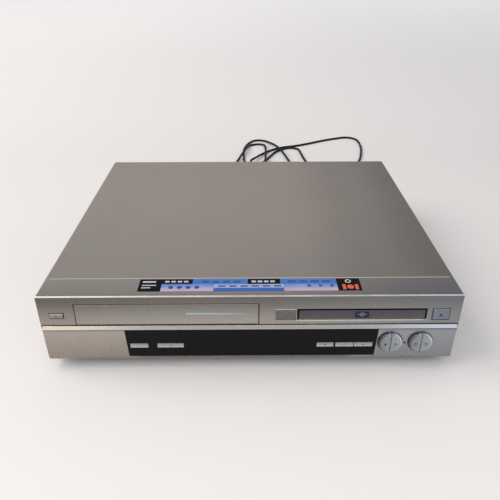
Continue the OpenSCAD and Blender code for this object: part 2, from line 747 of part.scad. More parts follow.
// The traverse and what it carries are drawn level, then hung lowered
module lowered()
    place(0, traverse_y, traverse_z) rotate([lift_angle, 0, 0]) place(0, -traverse_y, -traverse_z)
        translate([0, -2 * face_y, 0]) children();

module traverse_plate()
    color(zinc) lowered() {
        top = traverse_z + 1.2;
        difference() {
            union() {
                block([loader_x - traverse_half, 44, traverse_z - 1.2],
                      [loader_x + traverse_half, traverse_y + 4, top]);
                for (x = [-rod_x - 3, rod_x - 3], y = [84.5, 156])
                    block([loader_x + x, y, top - 0.1], [loader_x + x + 6, y + 4, rod_z + 3]);
                // Spindle motor's base and bearing
                post(loader_x, spindle_y, top - 0.1, top + 1.6, 14);
                post(loader_x, spindle_y, top, top + 9.5, 4);
            }
            block([loader_x - 29.5, 88.5, traverse_z - 3], [loader_x + 29.5, 155.5, top + 1]);
            post(loader_x, spindle_y, traverse_z, top + 12, rod_r + shaft_gap);
            for (x = [-rod_x, rod_x]) bar_y(loader_x + x, 80, 165, rod_z, rod_r + 0.02);
            for (x = [-traverse_half + 7, traverse_half - 7], y = [54, 160])
                post(loader_x + x, y, traverse_z - 3, top + 1, 2.2);
        }
        for (side = [-1, 1])
            place(loader_x + side * (traverse_half + 2), traverse_y, traverse_z)
                rotate([0, 90, 0]) cylinder(h = 5.2, r = pivot_r, center = true);
    }

disc_level = tray_top - 1;

module disc_turntable()
    color("#3a3c40") lowered() place(loader_x, spindle_y, 0) rotate_extrude() polygon([
        [0, traverse_z + 2.4], [rod_r, traverse_z + 2.4], [rod_r, traverse_z + 12],
        [5, traverse_z + 12], [5, traverse_z + 4.4], [13, traverse_z + 4.4], [13, traverse_z + 3.4],
        [14, traverse_z + 3.4], [14, disc_level - 4], [13.4, disc_level - 3.4],
        [13.4, disc_level], [7.4, disc_level], [7.4, disc_level + 1.2], [6, disc_level + 2.5],
        [0, disc_level + 2.5]
    ]);

module sled_rods()
    color(zinc) lowered()
        for (x = [-rod_x, rod_x]) bar_y(loader_x + x, 84.5, 160, rod_z, rod_r);

module laser_sled()
    color(black_plastic) lowered() {
        low = rod_z - 3.4;
        difference() {
            union() {
                block([loader_x - 29, lens_y - 4, low], [loader_x + 29, lens_y + 24, rod_z + 3.4]);
                block([loader_x - 14, lens_y - 4, low - 5], [loader_x + 14, lens_y + 24, low + 1]);
                post(loader_x, lens_y, rod_z + 3, rod_z + 6.6, 6);
            }
            for (x = [-rod_x, rod_x])
                bar_y(loader_x + x, lens_y - 6, lens_y + 26, rod_z, rod_r + shaft_gap);
            for (x = [-22, 22]) post(loader_x + x * 0.6, lens_y + 18, rod_z + 2, rod_z + 5, 2.5);
        }
        post(loader_x, lens_y, rod_z + 6, rod_z + 8.2, 3.4);
    }

module clamp_bridge()
    color(zinc) difference() {
        z = tray_top + 5;
        union() {
            block([loader_x - loader_half, 52, z], [loader_x + loader_half, 88, z + 0.8]);
            for (y = [52, 87.2])
                block([loader_x - loader_half + 6, y, z], [loader_x + loader_half - 6, y + 0.8, z + 4]);
        }
        post(loader_x, spindle_y, z - 1, z + 2, 13);
        for (x = [-50, -32, 32, 50]) post(loader_x + x, spindle_y, z - 1, z + 2, 6);
    }

module disc_clamp()
    color(black_plastic) place(loader_x, spindle_y, 0) rotate_extrude() polygon([
        [8.6, tray_top + 0.8], [12.4, tray_top + 0.8], [12.4, tray_top + 6.1],
        [16, tray_top + 6.1], [16, tray_top + 7.4], [14, tray_top + 8.2], [0, tray_top + 8.2],
        [0, tray_top + 4.4], [8.6, tray_top + 4.4]
    ]);

// ---- Cassette deck ----
module guide_slot_2d(side)
    translate([deck_x - side * guide_arc_x, drum_y - 0.6]) intersection() {
        ring_2d(guide_arc_r + 3.2, guide_arc_r - 3.2);
        // The slot runs from the rest place to the end of the swing
        rotate(side > 0 ? -45.5 : 180 - 11) wedge_2d(56.5, 90);
    }

module wedge_2d(angle, r)
    polygon([[0, 0], [r, 0], [r * cos(angle / 2) * 1.2, r * sin(angle / 2) * 1.2],
             [r * cos(angle), r * sin(angle)]]);

module deck_plate()
    color(zinc) difference() {
        union() {
            along_z(deck_top - deck_t, deck_top)
                translate([deck_x - deck_half, 36]) rounded([2 * deck_half, 214], 6);
            for (x = [-deck_leg, deck_leg], y = [46, 238])
                post(deck_x + x, y, floor_z, deck_top - 0.5, 4);
            for (side = [-1, 1]) {
                post(deck_x + side * reel_gap / 2, reel_y, deck_top - 0.2, deck_top + 1.2, 5);
                post(deck_x + side * reel_gap / 2, reel_y, deck_top, deck_top + 17, 2.5);
            }
            post(capstan_at.x, capstan_at.y, deck_top - 0.2, deck_top + 3.2, 5.5);
            post(pinch_pivot.x, pinch_pivot.y, deck_top - 0.2, deck_top + 16, 2.5);
        }
        for (side = [-1, 1]) along_z(deck_top - 4, deck_top + 1) guide_slot_2d(side);
        post(capstan_at.x, capstan_at.y, deck_top - 4, deck_top + 12, 2 + shaft_gap);
        for (x = [-60, 0, 60]) along_z(deck_top - 4, deck_top + 1)
            translate([deck_x + x - 12, 50]) rounded([24, 18], 3);
    }

// Frame that leans with the drum, at the middle of its lower face
module drum_axis()
    place(deck_x, drum_y, deck_top + 7) rotate([-drum_tilt, 0, 0]) children();

module lower_drum()
    color(steel) {
        drum_axis() difference() {
            union() {
                cylinder(h = 18, r = drum_r);
                translate([0, 0, -3.4]) cylinder(h = 3.5, r = drum_r - 9);
            }
            translate([0, 0, -5]) cylinder(h = 30, r = 3 + shaft_gap);
            // Step that guides the tape's lower edge
            translate([0, 0, 9]) difference() {
                cylinder(h = 12, r = drum_r + 1);
                cylinder(h = 12, r = drum_r - 0.4);
            }
        }
        // Three feet of the drum's base on the deck
        for (a = [90, 210, 330]) place(deck_x, drum_y, 0)
            translate([19 * cos(a), 19 * sin(a), deck_top])
                cylinder(h = a == 90 ? 6.6 : 8.5, r = 4);
    }

module head_drum()
    color("#d5d7da") drum_axis() difference() {
        union() {
            translate([0, 0, -3]) cylinder(h = 30, r = 3);
            translate([0, 0, 19]) cylinder(h = 14, r = drum_r);
            translate([0, 0, 32.9]) cylinder(h = 3, r = drum_r - 10);
        }
        for (a = [0 : 90 : 270]) rotate(a) translate([drum_r - 2, -2, 18]) cube([4, 4, 4]);
        for (a = [45 : 90 : 315]) rotate(a) translate([drum_r - 14, 0, 28]) cylinder(h = 6, r = 4);
        translate([0, 0, 34.5]) ring_cut(drum_r - 14, drum_r - 18, 3);
    }

module ring_cut(outer, inner, h) linear_extrude(h) ring_2d(outer, inner);

module capstan()
    color(zinc) place(capstan_at.x, capstan_at.y, 0) union() {
        translate([0, 0, deck_top - 14.4]) cylinder(h = 50.4, r = 2);
        translate([0, 0, deck_top - 13.5]) difference() {
            cylinder(h = 8, r = 25);
            translate([0, 0, 1.5]) ring_cut(22, 7, 7);
        }
    }

module pinch_arm()
    color(zinc) place(pinch_pivot.x, pinch_pivot.y, deck_top + 1.5) rotate(pinch_rest) {
        difference() {
            linear_extrude(2) union() {
                circle(5);
                translate([0, -3]) square([pinch_arm_l, 6]);
                translate([pinch_arm_l, 0]) circle(3);
            }
            translate([0, 0, -1]) cylinder(h = 4, r = 2.5 + shaft_gap);
        }
        difference() {
            translate([0, 0, 1.9]) cylinder(h = 8, r = 5);
            translate([0, 0, -1]) cylinder(h = 12, r = 2.5 + shaft_gap);
        }
        translate([pinch_arm_l, 0, 1.9]) cylinder(h = 24, r = 1.5);
    }

module pinch_roller()
    color(black_plastic) place(pinch_pivot.x, pinch_pivot.y, deck_top + 1.5) rotate(pinch_rest)
        translate([pinch_arm_l, 0, 2.4]) difference() {
            union() {
                translate([0, 0, 0.6]) cylinder(h = 19, r = pinch_r);
                cylinder(h = 20.2, r = 4);
            }
            translate([0, 0, -1]) cylinder(h = 24, r = 1.5 + shaft_gap);
        }

module reel(side)
    color(black_plastic) place(deck_x + side * reel_gap / 2, reel_y, deck_top + 1.5) difference() {
        union() {
            cylinder(h = 1.6, r = reel_r);
            cylinder(h = 3, r = reel_r - 7);
            cylinder(h = 13, r = 7.5);
            translate([0, 0, 13]) cylinder(h = 3.4, r1 = 7.5, r2 = 4.4, $fn = 64);
            for (a = [0 : 60 : 300]) rotate(a) translate([0, -0.8, 0]) cube([10.6, 1.6, 12]);
        }
        translate([0, 0, -1]) cylinder(h = 30, r = 2.5 + shaft_gap);
        for (a = [30 : 60 : 330]) rotate(a) translate([17.4, 0, -1]) cylinder(h = 4, r = 2);
    }

module cassette_holder()
    color(zinc) {
        top = holder_floor + cassette_h + 1.1;
        for (side = [-1, 1]) {
            wall = deck_x + side * holder_half;
            block([min(wall, wall + side * holder_t), holder_y, holder_floor - holder_t],
                  [max(wall, wall + side * holder_t), holder_y + holder_l, top + holder_t]);
            block([min(wall, wall - side * 12), holder_y, holder_floor - holder_t],
                  [max(wall, wall - side * 12) , holder_y + holder_l, holder_floor]);
            // Lip that guides the cassette in
            block([min(wall, wall - side * 6), holder_y + holder_l - 1, holder_floor - 0.1],
                  [max(wall, wall - side * 6), holder_y + holder_l, holder_floor + 8]);
            pin_in = wall + side * holder_t / 2;
            pin_out = wall + side * (holder_t + bracket_gap + bracket_t + 1);
            for (pin = cam_pins)
                bar_x(min(pin_in, pin_out), max(pin_in, pin_out), pin[0], pin[1], cam_pin_r);
        }
        for (y = [holder_y + 4, holder_y + holder_l - 16])
            block([deck_x - holder_outer, y, top], [deck_x + holder_outer, y + 12, top + holder_t]);
        for (x = [-46, 46])
            block([deck_x + x - 8, holder_y + 4, top],
                  [deck_x + x + 8, holder_y + holder_l - 4, top + holder_t]);
    }

// Plates that push the holder in and out, and let it drop in their upright slots
slider_pins = [[holder_y + 18, slot_z + 23.2], [holder_y + 63, slot_z + 23.2]];

module holder_slider()
    color("#9a9ca0")
        for (side = [-1, 1]) {
            wall = deck_x + side * (holder_outer + slider_gap);
            x0 = min(wall, wall + side * slider_t);
            difference() {
                block([x0, holder_y + 5, slot_z - 21], [x0 + slider_t, holder_y + 75, slot_z + 26]);
                for (pin = cam_pins) along_x(x0 - 1, x0 + slider_t + 1)
                    slot_2d([pin[0], pin[1]], [pin[0], pin[1] - holder_drop], cam_pin_r + cam_gap);
                block([x0 - 1, holder_y + 20, slot_z - 15],
                      [x0 + slider_t + 1, holder_y + 58, slot_z + 16]);
            }
            for (pin = slider_pins)
                bar_x(min(wall, wall + side * (bracket_gap + bracket_t + 0.5)),
                      max(wall, wall + side * (bracket_gap + bracket_t + 0.5)), pin[0], pin[1], 1.4);
        }

module cam_slot(pin, grow)
    union() {
        slot_2d([pin[0] - holder_in, pin[1]], [pin[0], pin[1]], cam_pin_r + grow);
        slot_2d([pin[0], pin[1]], [pin[0], pin[1] - holder_drop], cam_pin_r + grow);
    }

module holder_bracket()
    color(steel) {
        top = body_h - cover_t - 4;
        for (side = [-1, 1]) {
            wall = deck_x + side * (holder_outer + bracket_gap);
            x0 = min(wall, wall + side * bracket_t);
            difference() {
                block([x0, 42, deck_top], [x0 + bracket_t, 172, top]);
                for (pin = cam_pins) along_x(x0 - 1, x0 + bracket_t + 1) cam_slot(pin, cam_gap);
                along_x(x0 - 1, x0 + bracket_t + 1)
                    slot_2d([slider_pins[0][0] - holder_in, slider_pins[0][1]], slider_pins[1],
                            1.4 + cam_gap);
                block([x0 - 1, 110, deck_top + 5], [x0 + bracket_t + 1, 145, slot_z - 2]);
                block([x0 - 1, 52, deck_top + 5], [x0 + bracket_t + 1, 88, slot_z]);
            }
        }
        block([deck_x - holder_outer - bracket_gap - bracket_t, 60, top - sheet_t],
              [deck_x + holder_outer + bracket_gap + bracket_t, 76, top]);
    }

module guide(side)
    color(zinc) {
        x = deck_x + side * 22;
        y = 154;
        difference() {
            union() {
                place(x, y, deck_top + seat_gap) rotate(side * guide_start)
                    translate([-7, -4.5, 0]) linear_extrude(3.7) rounded([14, 9], 2.5);
                post(x, y, deck_top - 4.5, deck_top + 4, 2.8);
                post(x, y, deck_top - 4.5, deck_top - deck_t - seat_gap, 4.6);
            }
            post(x, y, deck_top - 6, deck_top - 3.5, 0.9);
        }
        post(x, y, deck_top + 3.8, deck_top + 26, 1.4);
        post(x, y, deck_top + 5, deck_top + 7, 4);
        post(x, y, deck_top + 6.9, deck_top + 21, 3.2);
        post(x, y, deck_top + 20.8, deck_top + 22.6, 4);
    }

module tape_heads()
    color(steel) {
        for (spot = [[deck_x - 58, 190, 20], [deck_x + 49.4, 194, -20]])
            place(spot[0], spot[1], deck_top) rotate(spot[2]) {
                translate([-3, -3, 0]) cube([6, 6, 20]);
                translate([-2.4, -4, 4]) cube([4.8, 1.4, 14]);
                translate([-3.6, -3, 0]) cube([7.2, 6.4, 3]);
            }
    }

module loading_motor()
    color(steel) {
        bar_x(deck_x - 94, deck_x - 62, 232, deck_top + 12, 10.5);
        bar_x(deck_x - 62.2, deck_x - 50, 232, deck_top + 12, 2.4);
        block([deck_x - 92, 224, deck_top], [deck_x - 66, 240, deck_top + 4]);
    }

// ---- Boards and cables ----
board_z = floor_z + 4;
board_posts = [
    [-side_x + 16, body_d - 96], [30, body_d - 96], [-side_x + 16, body_d - 24], [30, body_d - 24],
    [side_x - 150, 210], [side_x - 16, 210], [side_x - 150, body_d - 24], [side_x - 16, body_d - 24],
    [loader_x - 56, 44], [loader_x + 56, 44], [loader_x - 56, 160], [loader_x + 56, 160]
];

module chip(x, y, w, d, h = 1.8)
    block([x, y, board_z + board_t - 0.05], [x + w, y + d, board_z + board_t + h]);

module capacitor(x, y, r, h) post(x, y, board_z + board_t - 0.05, board_z + board_t + h, r);

module main_board()
    color(green_board) {
        block([-side_x + 10, body_d - 102, board_z], [36, body_d - 18, board_z + board_t]);
        chip(-164, body_d - 98, 28, 28);
        chip(-96, body_d - 84, 22, 22);
        chip(-40, body_d - 82, 16, 24);
        chip(0, body_d - 90, 24, 8, 9);
        for (i = [0 : 4]) capacitor(-118 + i * 26, body_d - 40, 3.2, 11);
        for (i = [0 : 3]) capacitor(-60 + i * 14, body_d - 94, 4, 9);
    }

module disc_board()
    color("#274b6b") {
        block([loader_x - 62, 38, board_z], [loader_x + 62, 166, board_z + board_t]);
        chip(loader_x - 16, 70, 30, 30);
        chip(loader_x + 24, 76, 22, 12);
        chip(loader_x - 50, 60, 20, 8, 7);
        for (i = [0 : 4]) capacitor(loader_x - 40 + i * 16, 120, 3.2, 9);
    }

module power_supply()
    color("#b98b4a") {
        block([side_x - 156, 204, board_z], [side_x - 10, body_d - 18, board_z + board_t]);
        // Transformer, smoothing capacitors, heat sink with fins and fuse
        block([side_x - 112, 250, board_z + 1.5], [side_x - 76, 284, board_z + 32]);
        block([side_x - 118, 256, board_z + 1.5], [side_x - 70, 278, board_z + 22]);
        capacitor(side_x - 46, 262, 12, 34);
        for (i = [0 : 3]) capacitor(side_x - 142, 222 + i * 22, 5, 20);
        for (i = [0 : 5]) block([side_x - 66 + i * 7, 218, board_z + 1.5],
                                [side_x - 64 + i * 7, 234, board_z + 36]);
        block([side_x - 66, 225, board_z + 1.5], [side_x - 29, 227, board_z + 36]);
        bar_x(side_x - 50, side_x - 30, 296, board_z + 6, 2.6);
        block([side_x - 52, 293, board_z + 1.5], [side_x - 47, 299, board_z + 8]);
        block([side_x - 33, 293, board_z + 1.5], [side_x - 28, 299, board_z + 8]);
    }

module tact_switch(x, z)
    union() {
        block([x - 3, control_y - 2.5, z - 3], [x + 3, control_y + 0.1, z + 3]);
        bar_y(x, switch_y, control_y - 2.4, z, 1.75);
    }

module control_board()
    color(green_board) {
        block([-side_x + 60, control_y, window_bottom + 1],
              [side_x - 14, control_y + board_t, window_top - 4]);
        for (span = window_spans) tact_switch(mid(span), window_button_z);
        for (x = round_x, side = [-1, 1]) tact_switch(x + side * round_r * 0.5, round_z);
        bar_y(led_at[0], -0.6, control_y + 0.1, led_at[1], 1.2);
    }

module switch_boards()
    color(green_board)
        for (pair = [[power_low, power_high], [open_low, open_high]]) {
            x = (pair[0][0] + pair[1][0]) / 2;
            z = (pair[0][1] + pair[1][1]) / 2;
            block([x - 9, control_y, z - 14], [x + 9, control_y + board_t, z + 9]);
            tact_switch(x, z);
        }

module display_tube()
    color("#30383c") {
        block([-56, 1.5, window_button_z - 11], [60, 8, window_button_z + 11]);
        block([-56, 4.2, window_button_z - 13], [60, 4.8, window_button_z - 10.9]);
        for (i = [0 : 18]) block([-54 + i * 6.2, 4.2, window_button_z - 13],
                                 [-53 + i * 6.2, control_y, window_button_z - 12.2]);
    }

module tuner_can()
    color(zinc) {
        difference() {
            block([-aerial_x - 22, rear_y - 60, board_z + board_t], [-aerial_x + 22, rear_y - 1.3, 76]);
            block([-aerial_x - 19, rear_y - 57, 74.6], [-aerial_x + 19, rear_y - 4, 77]);
        }
        for (z = aerial_z) place(-aerial_x, rear_y - 2, z) rotate([-90, 0, 0]) difference() {
            cylinder(h = socket_proud + 1, r = 4.9);
            translate([0, 0, 3]) cylinder(h = 20, r = 4.2);
            }
        for (z = aerial_z) bar_y(-aerial_x, rear_y - 2, rear_y + socket_proud - 3, z, 1.2);
    }

cable_t = 0.5;
cable_front = control_y + board_t + seat_gap;

module ribbon_cables()
    color("#e4e2d8") {
        along_x(loader_x - 61, loader_x - 51) polygon([
            [166.3, board_z + 0.4], [177, board_z + 0.4], [177, loader_base - seat_gap],
            [177 - cable_t, loader_base - seat_gap], [177 - cable_t, board_z + 0.4 + cable_t],
            [166.3, board_z + 0.4 + cable_t]
        ]);
        along_x(cable_x[0], cable_x[1]) polygon([
            [cable_front, window_bottom + 6], [cable_front, board_z + 0.6],
            [body_d - 102.3, board_z + 0.6], [body_d - 102.3, board_z + 0.6 + cable_t],
            [cable_front + cable_t, board_z + 0.6 + cable_t], [cable_front + cable_t, window_bottom + 6]
        ]);
    }

// ---- Rear sockets ----
module scart_sockets()
    color(black_plastic) for (x = scart_x) difference() {
        union() {
            along_y(rear_y - 12, body_d + 2)
                translate([x - 23.6, scart_z - 7.6]) rounded([47.2, 15.2], 1.8);
            block([x - 20, rear_y - 14, board_z + board_t], [x + 20, rear_y - 4, scart_z - 6]);
        }
        along_y(rear_y - 9, body_d + 3) polygon([
            [x - 21.5, scart_z - 5], [x + 18.5, scart_z - 5], [x + 21.5, scart_z - 2],
            [x + 21.5, scart_z + 5], [x - 21.5, scart_z + 5]
        ]);
    }

module phono_sockets()
    color(black_plastic) {
        for (x = phono_x) place(x, rear_y - 10, phono_z) rotate([-90, 0, 0]) difference() {
            union() {
                cylinder(h = 12.4, r = phono_r + 2.2);
                cylinder(h = 11 + socket_proud, r = phono_r);
            }
            translate([0, 0, 8]) cylinder(h = 30, r = 1.7);
        }
        for (pair = [[0, 2], [3, 4]])
            block([phono_x[pair[0]] - 8, rear_y - 22, board_z + board_t],
                  [phono_x[pair[1]] + 8, rear_y - 9, phono_z + 8]);
    }

module digital_sockets()
    color(black_plastic) {
        difference() {
            union() {
                bar_y(svideo_at[0], rear_y - 12, rear_y + 1.6, svideo_at[1], 6);
                block([svideo_at[0] - 8, rear_y - 16, board_z + board_t],
                      [svideo_at[0] + 8, rear_y - 3, svideo_at[1] + 8]);
            }
            for (a = [45 : 90 : 315])
                bar_y(svideo_at[0] + 3 * cos(a), rear_y - 5, rear_y + 3, svideo_at[1] + 3 * sin(a), 0.7);
            place(svideo_at[0], rear_y - 1.5, svideo_at[1]) rotate([-90, 0, 0]) ring_cut(4.9, 4.1, 5);
        }
        difference() {
            union() {
                block([optical_at[0] - 5, rear_y - 14, board_z + board_t],
                      [optical_at[0] + 5, rear_y - 2, optical_at[1] + 5.5]);
                block([optical_at[0] - 5, rear_y - 3, optical_at[1] - 5.5],
                      [optical_at[0] + 5, rear_y + 1.4, optical_at[1] + 5.5]);
            }
            block([optical_at[0] - 3.6, rear_y - 4, optical_at[1] - 3.8],
                  [optical_at[0] + 3.6, rear_y + 3, optical_at[1] + 3.8]);
        }
    }

// ---- Mains lead ----
module strain_relief()
    color(black_plastic) place(relief_x, rear_y - 5, relief_z) rotate([-90, 0, 0]) rotate_extrude()
        polygon([
            [0, 0], [7, 0], [7, 3.6], [5, 3.6], [5, 5.3], [7, 5.3], [7, 8],
            [5.6, 9], [5.4, 12], [4.9, 12.4], [4.9, 13.4], [5.2, 13.8], [5, 16], [4.5, 16.4],
            [4.5, 17.4], [4.8, 17.8], [4.6, 20], [4.1, 20.4], [4.1, 21.4], [4.4, 21.8],
            [4.2, 24], [3.7, 24.6], [3.5, 5 + relief_l], [0, 5 + relief_l]
        ]);

// Corners of the lead's route in the model's own frame. It leaves the strain
// relief, lies on the floor behind the casing and ends in the plug.
cord_route = [
    [155.5, 203.5, 27], [155.5, 229, 27], [151, 263, 2.3], [118, 301, 2.3], [40, 313, 2.3],
    [34, 376, 2.3], [37, 421, 8.6], [39, 465, 8.6], [38, 521, 2.3], [4, 517, 2.3],
    [-9, 458, 9.2], [-24, 409, 2.3], [-38, 363, 2.3], [-20, 329, 2.3], [18, 339, 2.3],
    [10, 377, 2.3], [3, 400, 9.2], [37, 466, 2.3], [68, 495, 2.3], [117, 510, 2.3],
    [190, 551, 2.3], [254, 573, 2.3], [258, 501, 2.3], [238, 416, 2.3], [205, 346, 2.3],
    [135, 346, 2.3], [119, 426, 2.3], [113, 489, 2.3], [92, 497, 2.3], [62, 475, 2.3],
    [33, 409, 2.3], [14, 393, 2.3], [-8, 404, 2.3], [-11, 481, 2.3], [-1, 522, 2.3],
    [15, 547, 2.3], [38, 544, 2.3], [67, 489, 9], [84, 431, 2.3], [88, 386, 6.8]
];
cord_last = len(cord_route) - 1;

// Where a corner's arc starts and ends, and the weight that makes it a circle's arc
function corner_arc(i) =
    let (corner = cord_route[i], back = cord_route[i - 1] - corner, on = cord_route[i + 1] - corner,
         cut = min(norm(back) * (i == 1 ? 1 : 0.5), norm(on) * (i == cord_last - 1 ? 1 : 0.5)),
         in = back / norm(back), out = on / norm(on))
    [corner + in * cut, corner, corner + out * cut, sqrt((1 - in * out) / 2)];

function arc_point(arc, t) =
    ((1 - t) * (1 - t) * arc[0] + 2 * arc[3] * t * (1 - t) * arc[1] + t * t * arc[2])
    / ((1 - t) * (1 - t) + 2 * arc[3] * t * (1 - t) + t * t);

// Sharp corners take three rings, gentle ones one
cord_line = [
    cord_route[0],
    for (i = [1 : cord_last - 1])
        let (arc = corner_arc(i))
        for (t = (arc[3] < cos(20) ? [0.08, 0.5, 0.92] : [0.5])) arc_point(arc, t),
    cord_route[cord_last]
];

cord_sides = 8;
function cord_heading(i) =
    i == 0 ? [0, 1, 0]
    : i == len(cord_line) - 1 ? [0, -1, 0]
    : (cord_line[i + 1] - cord_line[i - 1]) / norm(cord_line[i + 1] - cord_line[i - 1]);
function cord_ring(i) =
    let (on = cord_heading(i), side = cross([0, 0, 1], on) / norm(cross([0, 0, 1], on)),
         up = cross(on, side))
    [for (k = [0 : cord_sides - 1])
        cord_line[i] + cord_r * (cos(k * 360 / cord_sides) * side + sin(k * 360 / cord_sides) * up)];

module mains_cord()
    color(black_plastic) polyhedron(
        points = [for (i = [0 : len(cord_line) - 1]) each cord_ring(i)],
        faces = [
            [for (k = [0 : cord_sides - 1]) k],
            for (i = [0 : len(cord_line) - 2], k = [0 : cord_sides - 1])
                let (a = i * cord_sides + k, b = i * cord_sides + (k + 1) % cord_sides)
                each [[a, a + cord_sides, b + cord_sides], [a, b + cord_sides, b]],
            [for (k = [cord_sides - 1 : -1 : 0]) (len(cord_line) - 1) * cord_sides + k]
        ]);

plug_half = cord_route[cord_last].z;

module mains_plug()
    color(black_plastic) translate(cord_route[cord_last]) {
        rotate([90, 0, 0]) rotate_extrude() polygon([
            [0, 0], [cord_r + 0.8, 0], [cord_r + 1, 3], [cord_r + 0.6, 3.4], [cord_r + 0.6, 4.4],
            [cord_r + 1.6, 4.8], [cord_r + 1.8, 8], [cord_r + 1.4, 8.4], [cord_r + 1.4, 9.4],
            [plug_half - 1.6, 10], [plug_half - 1.4, 16], [0, 16]
        ]);
        translate([0, 0, -plug_half]) linear_extrude(2 * plug_half) polygon([
            [-5.4, -15], [5.4, -15], [9, -18], [12.6, -26], [13, -30], [13, -43], [11.6, -45],
            [-11.6, -45], [-13, -43], [-13, -30], [-12.6, -26], [-9, -18]
        ]);
        for (x = [-9.4, 9.4]) translate([x, -44, 0]) rotate([90, 0, 0]) {
            cylinder(h = 11, r = 1.9);
            cylinder(h = 19, r = 2);
            translate([0, 0, 19]) cylinder(h = 1, r1 = 2, r2 = 1.4);
        }
    }

chassis_base();
top_cover();
front_panel();
trim_strip();
window_panel();
display_tube();
cassette_door();
door_spring();
face_button(power_low, power_high, 1.2, 0.9);  // power_button
window_button(source_span);  // source_button
window_button(eject_span);  // cassette_eject_button
window_button(record_span);  // record_button
window_button(channel_down_span);  // channel_down_button
window_button(channel_up_span);  // channel_up_button
half_button(round_x[1], -1);  // rewind_button
half_button(round_x[1], 1);  // forward_button
half_button(round_x[0], -1);  // stop_button
half_button(round_x[0], 1);  // play_button
face_button(open_low, open_high, 0.6, 0.6);  // tray_open_button
tray_front();
disc_tray();
loader_frame();
tray_gear();
tray_motor();
traverse_plate();
disc_turntable();
laser_sled();
sled_rods();
clamp_bridge();
disc_clamp();
deck_plate();
lower_drum();
head_drum();
capstan();
pinch_arm();
pinch_roller();
reel(-1);  // supply_reel
reel(1);  // takeup_reel
cassette_holder();
holder_bracket();
guide(-1);  // guide_left
guide(1);  // guide_right
holder_slider();
tape_heads();
loading_motor();
power_supply();
main_board();
tuner_can();
control_board();
switch_boards();
disc_board();
ribbon_cables();
scart_sockets();
phono_sockets();
digital_sockets();
feet();
cover_screws();
strain_relief();
mains_cord();
mains_plug();
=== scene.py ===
import math

import bmesh
import bpy
from mathutils import Euler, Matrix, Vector


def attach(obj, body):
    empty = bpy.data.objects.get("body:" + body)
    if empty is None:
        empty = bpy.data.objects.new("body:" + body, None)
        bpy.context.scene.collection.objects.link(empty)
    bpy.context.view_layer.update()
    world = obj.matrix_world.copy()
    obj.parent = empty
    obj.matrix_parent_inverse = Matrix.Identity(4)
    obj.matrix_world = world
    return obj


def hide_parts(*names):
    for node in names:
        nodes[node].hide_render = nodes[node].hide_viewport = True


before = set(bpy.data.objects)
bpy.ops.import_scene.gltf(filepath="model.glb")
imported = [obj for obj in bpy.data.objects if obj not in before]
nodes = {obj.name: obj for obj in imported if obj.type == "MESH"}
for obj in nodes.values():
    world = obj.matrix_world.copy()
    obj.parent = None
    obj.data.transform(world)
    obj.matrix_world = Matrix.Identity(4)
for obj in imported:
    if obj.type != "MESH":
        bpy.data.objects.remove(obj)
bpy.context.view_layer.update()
scene = bpy.context.scene
scene.view_settings.view_transform = "Standard"

# Places on the part, in millimetres
MM = 0.001
FACE_Y = -181.5
SIDE_X = 217.5
BODY_H = 96.0
UPPER_FACE_H = 36.0
FACE_SWEEP = 2.0
TRIM_TOP = BODY_H - UPPER_FACE_H
SWEEP_R = (UPPER_FACE_H ** 2 + FACE_SWEEP ** 2) / (2 * FACE_SWEEP)
LEDGE = 30.5
WINDOW_LOW, WINDOW_HIGH = 17.8, 53.8
BUTTON_Z = WINDOW_LOW + 0.43 * (WINDOW_HIGH - WINDOW_LOW)
ROUND_Z = BUTTON_Z + 3.4
ROUND_X = (SIDE_X - 69.0, SIDE_X - 36.8)
ROUND_R = 12.3
TRAY_X = 115.6
TRAY_SLOT_Z, TRAY_SLOT_H = 65.2, 14.2
TRAY_MID = TRAY_SLOT_Z + (0.8 + TRAY_SLOT_H - 1.7) / 2
DOOR_RIGHT, DOOR_TOP = 8.8, 85.8
PHONO_Z = 46


def at(x, back, z):
    """A point given across, back from the front face and up, in millimetres."""
    return Vector((x * MM, (back + FACE_Y) * MM, z * MM))


def rgb(r, g, b):
    """A screen colour from 0 to 255, as the linear colour that a shader takes."""
    def linear(v):
        v /= 255.0
        return v / 12.92 if v <= 0.04045 else ((v + 0.055) / 1.055) ** 2.4
    return (linear(r), linear(g), linear(b), 1.0)


# ---- Camera, fitted to eleven points of the photograph ----
cam_data = bpy.data.cameras.new("camera")
cam_data.sensor_fit = "HORIZONTAL"
cam_data.sensor_width = 36.0
cam_data.lens = 36.56
cam_data.shift_y = -0.04
camera = bpy.data.objects.new("camera", cam_data)
camera.location = (-2.30 * MM, -594.37 * MM, 406.20 * MM)
pitch, yaw, roll = math.radians(29.52), math.radians(-0.38), math.radians(0.09)
camera.rotation_euler = Euler((math.pi / 2 - pitch, roll, yaw), "XYZ")
scene.collection.objects.link(camera)
scene.camera = camera

# ---- Mains lead ----
CORD_D = 4.6
# Corners of its middle line, in the frame's own axes, in millimetres
CORD_ROUTE = [
    (155.5, 203.5, 27), (155.5, 229, 27), (151, 263, 2.3), (118, 301, 2.3), (40, 313, 2.3),
    (34, 376, 2.3), (37, 421, 8.6), (39, 465, 8.6), (38, 521, 2.3), (4, 517, 2.3),
    (-9, 458, 9.2), (-24, 409, 2.3), (-38, 363, 2.3), (-20, 329, 2.3), (18, 339, 2.3),
    (10, 377, 2.3), (3, 400, 9.2), (37, 466, 2.3), (68, 495, 2.3), (117, 510, 2.3),
    (190, 551, 2.3), (254, 573, 2.3), (258, 501, 2.3), (238, 416, 2.3), (205, 346, 2.3),
    (135, 346, 2.3), (119, 426, 2.3), (113, 489, 2.3), (92, 497, 2.3), (62, 475, 2.3),
    (33, 409, 2.3), (14, 393, 2.3), (-8, 404, 2.3), (-11, 481, 2.3), (-1, 522, 2.3),
    (15, 547, 2.3), (38, 544, 2.3), (67, 489, 9), (84, 431, 2.3), (88, 386, 6.8),
]
# Points of the middle line that lie closer together than this, in metres, count as one
SAME_POINT = 1e-5


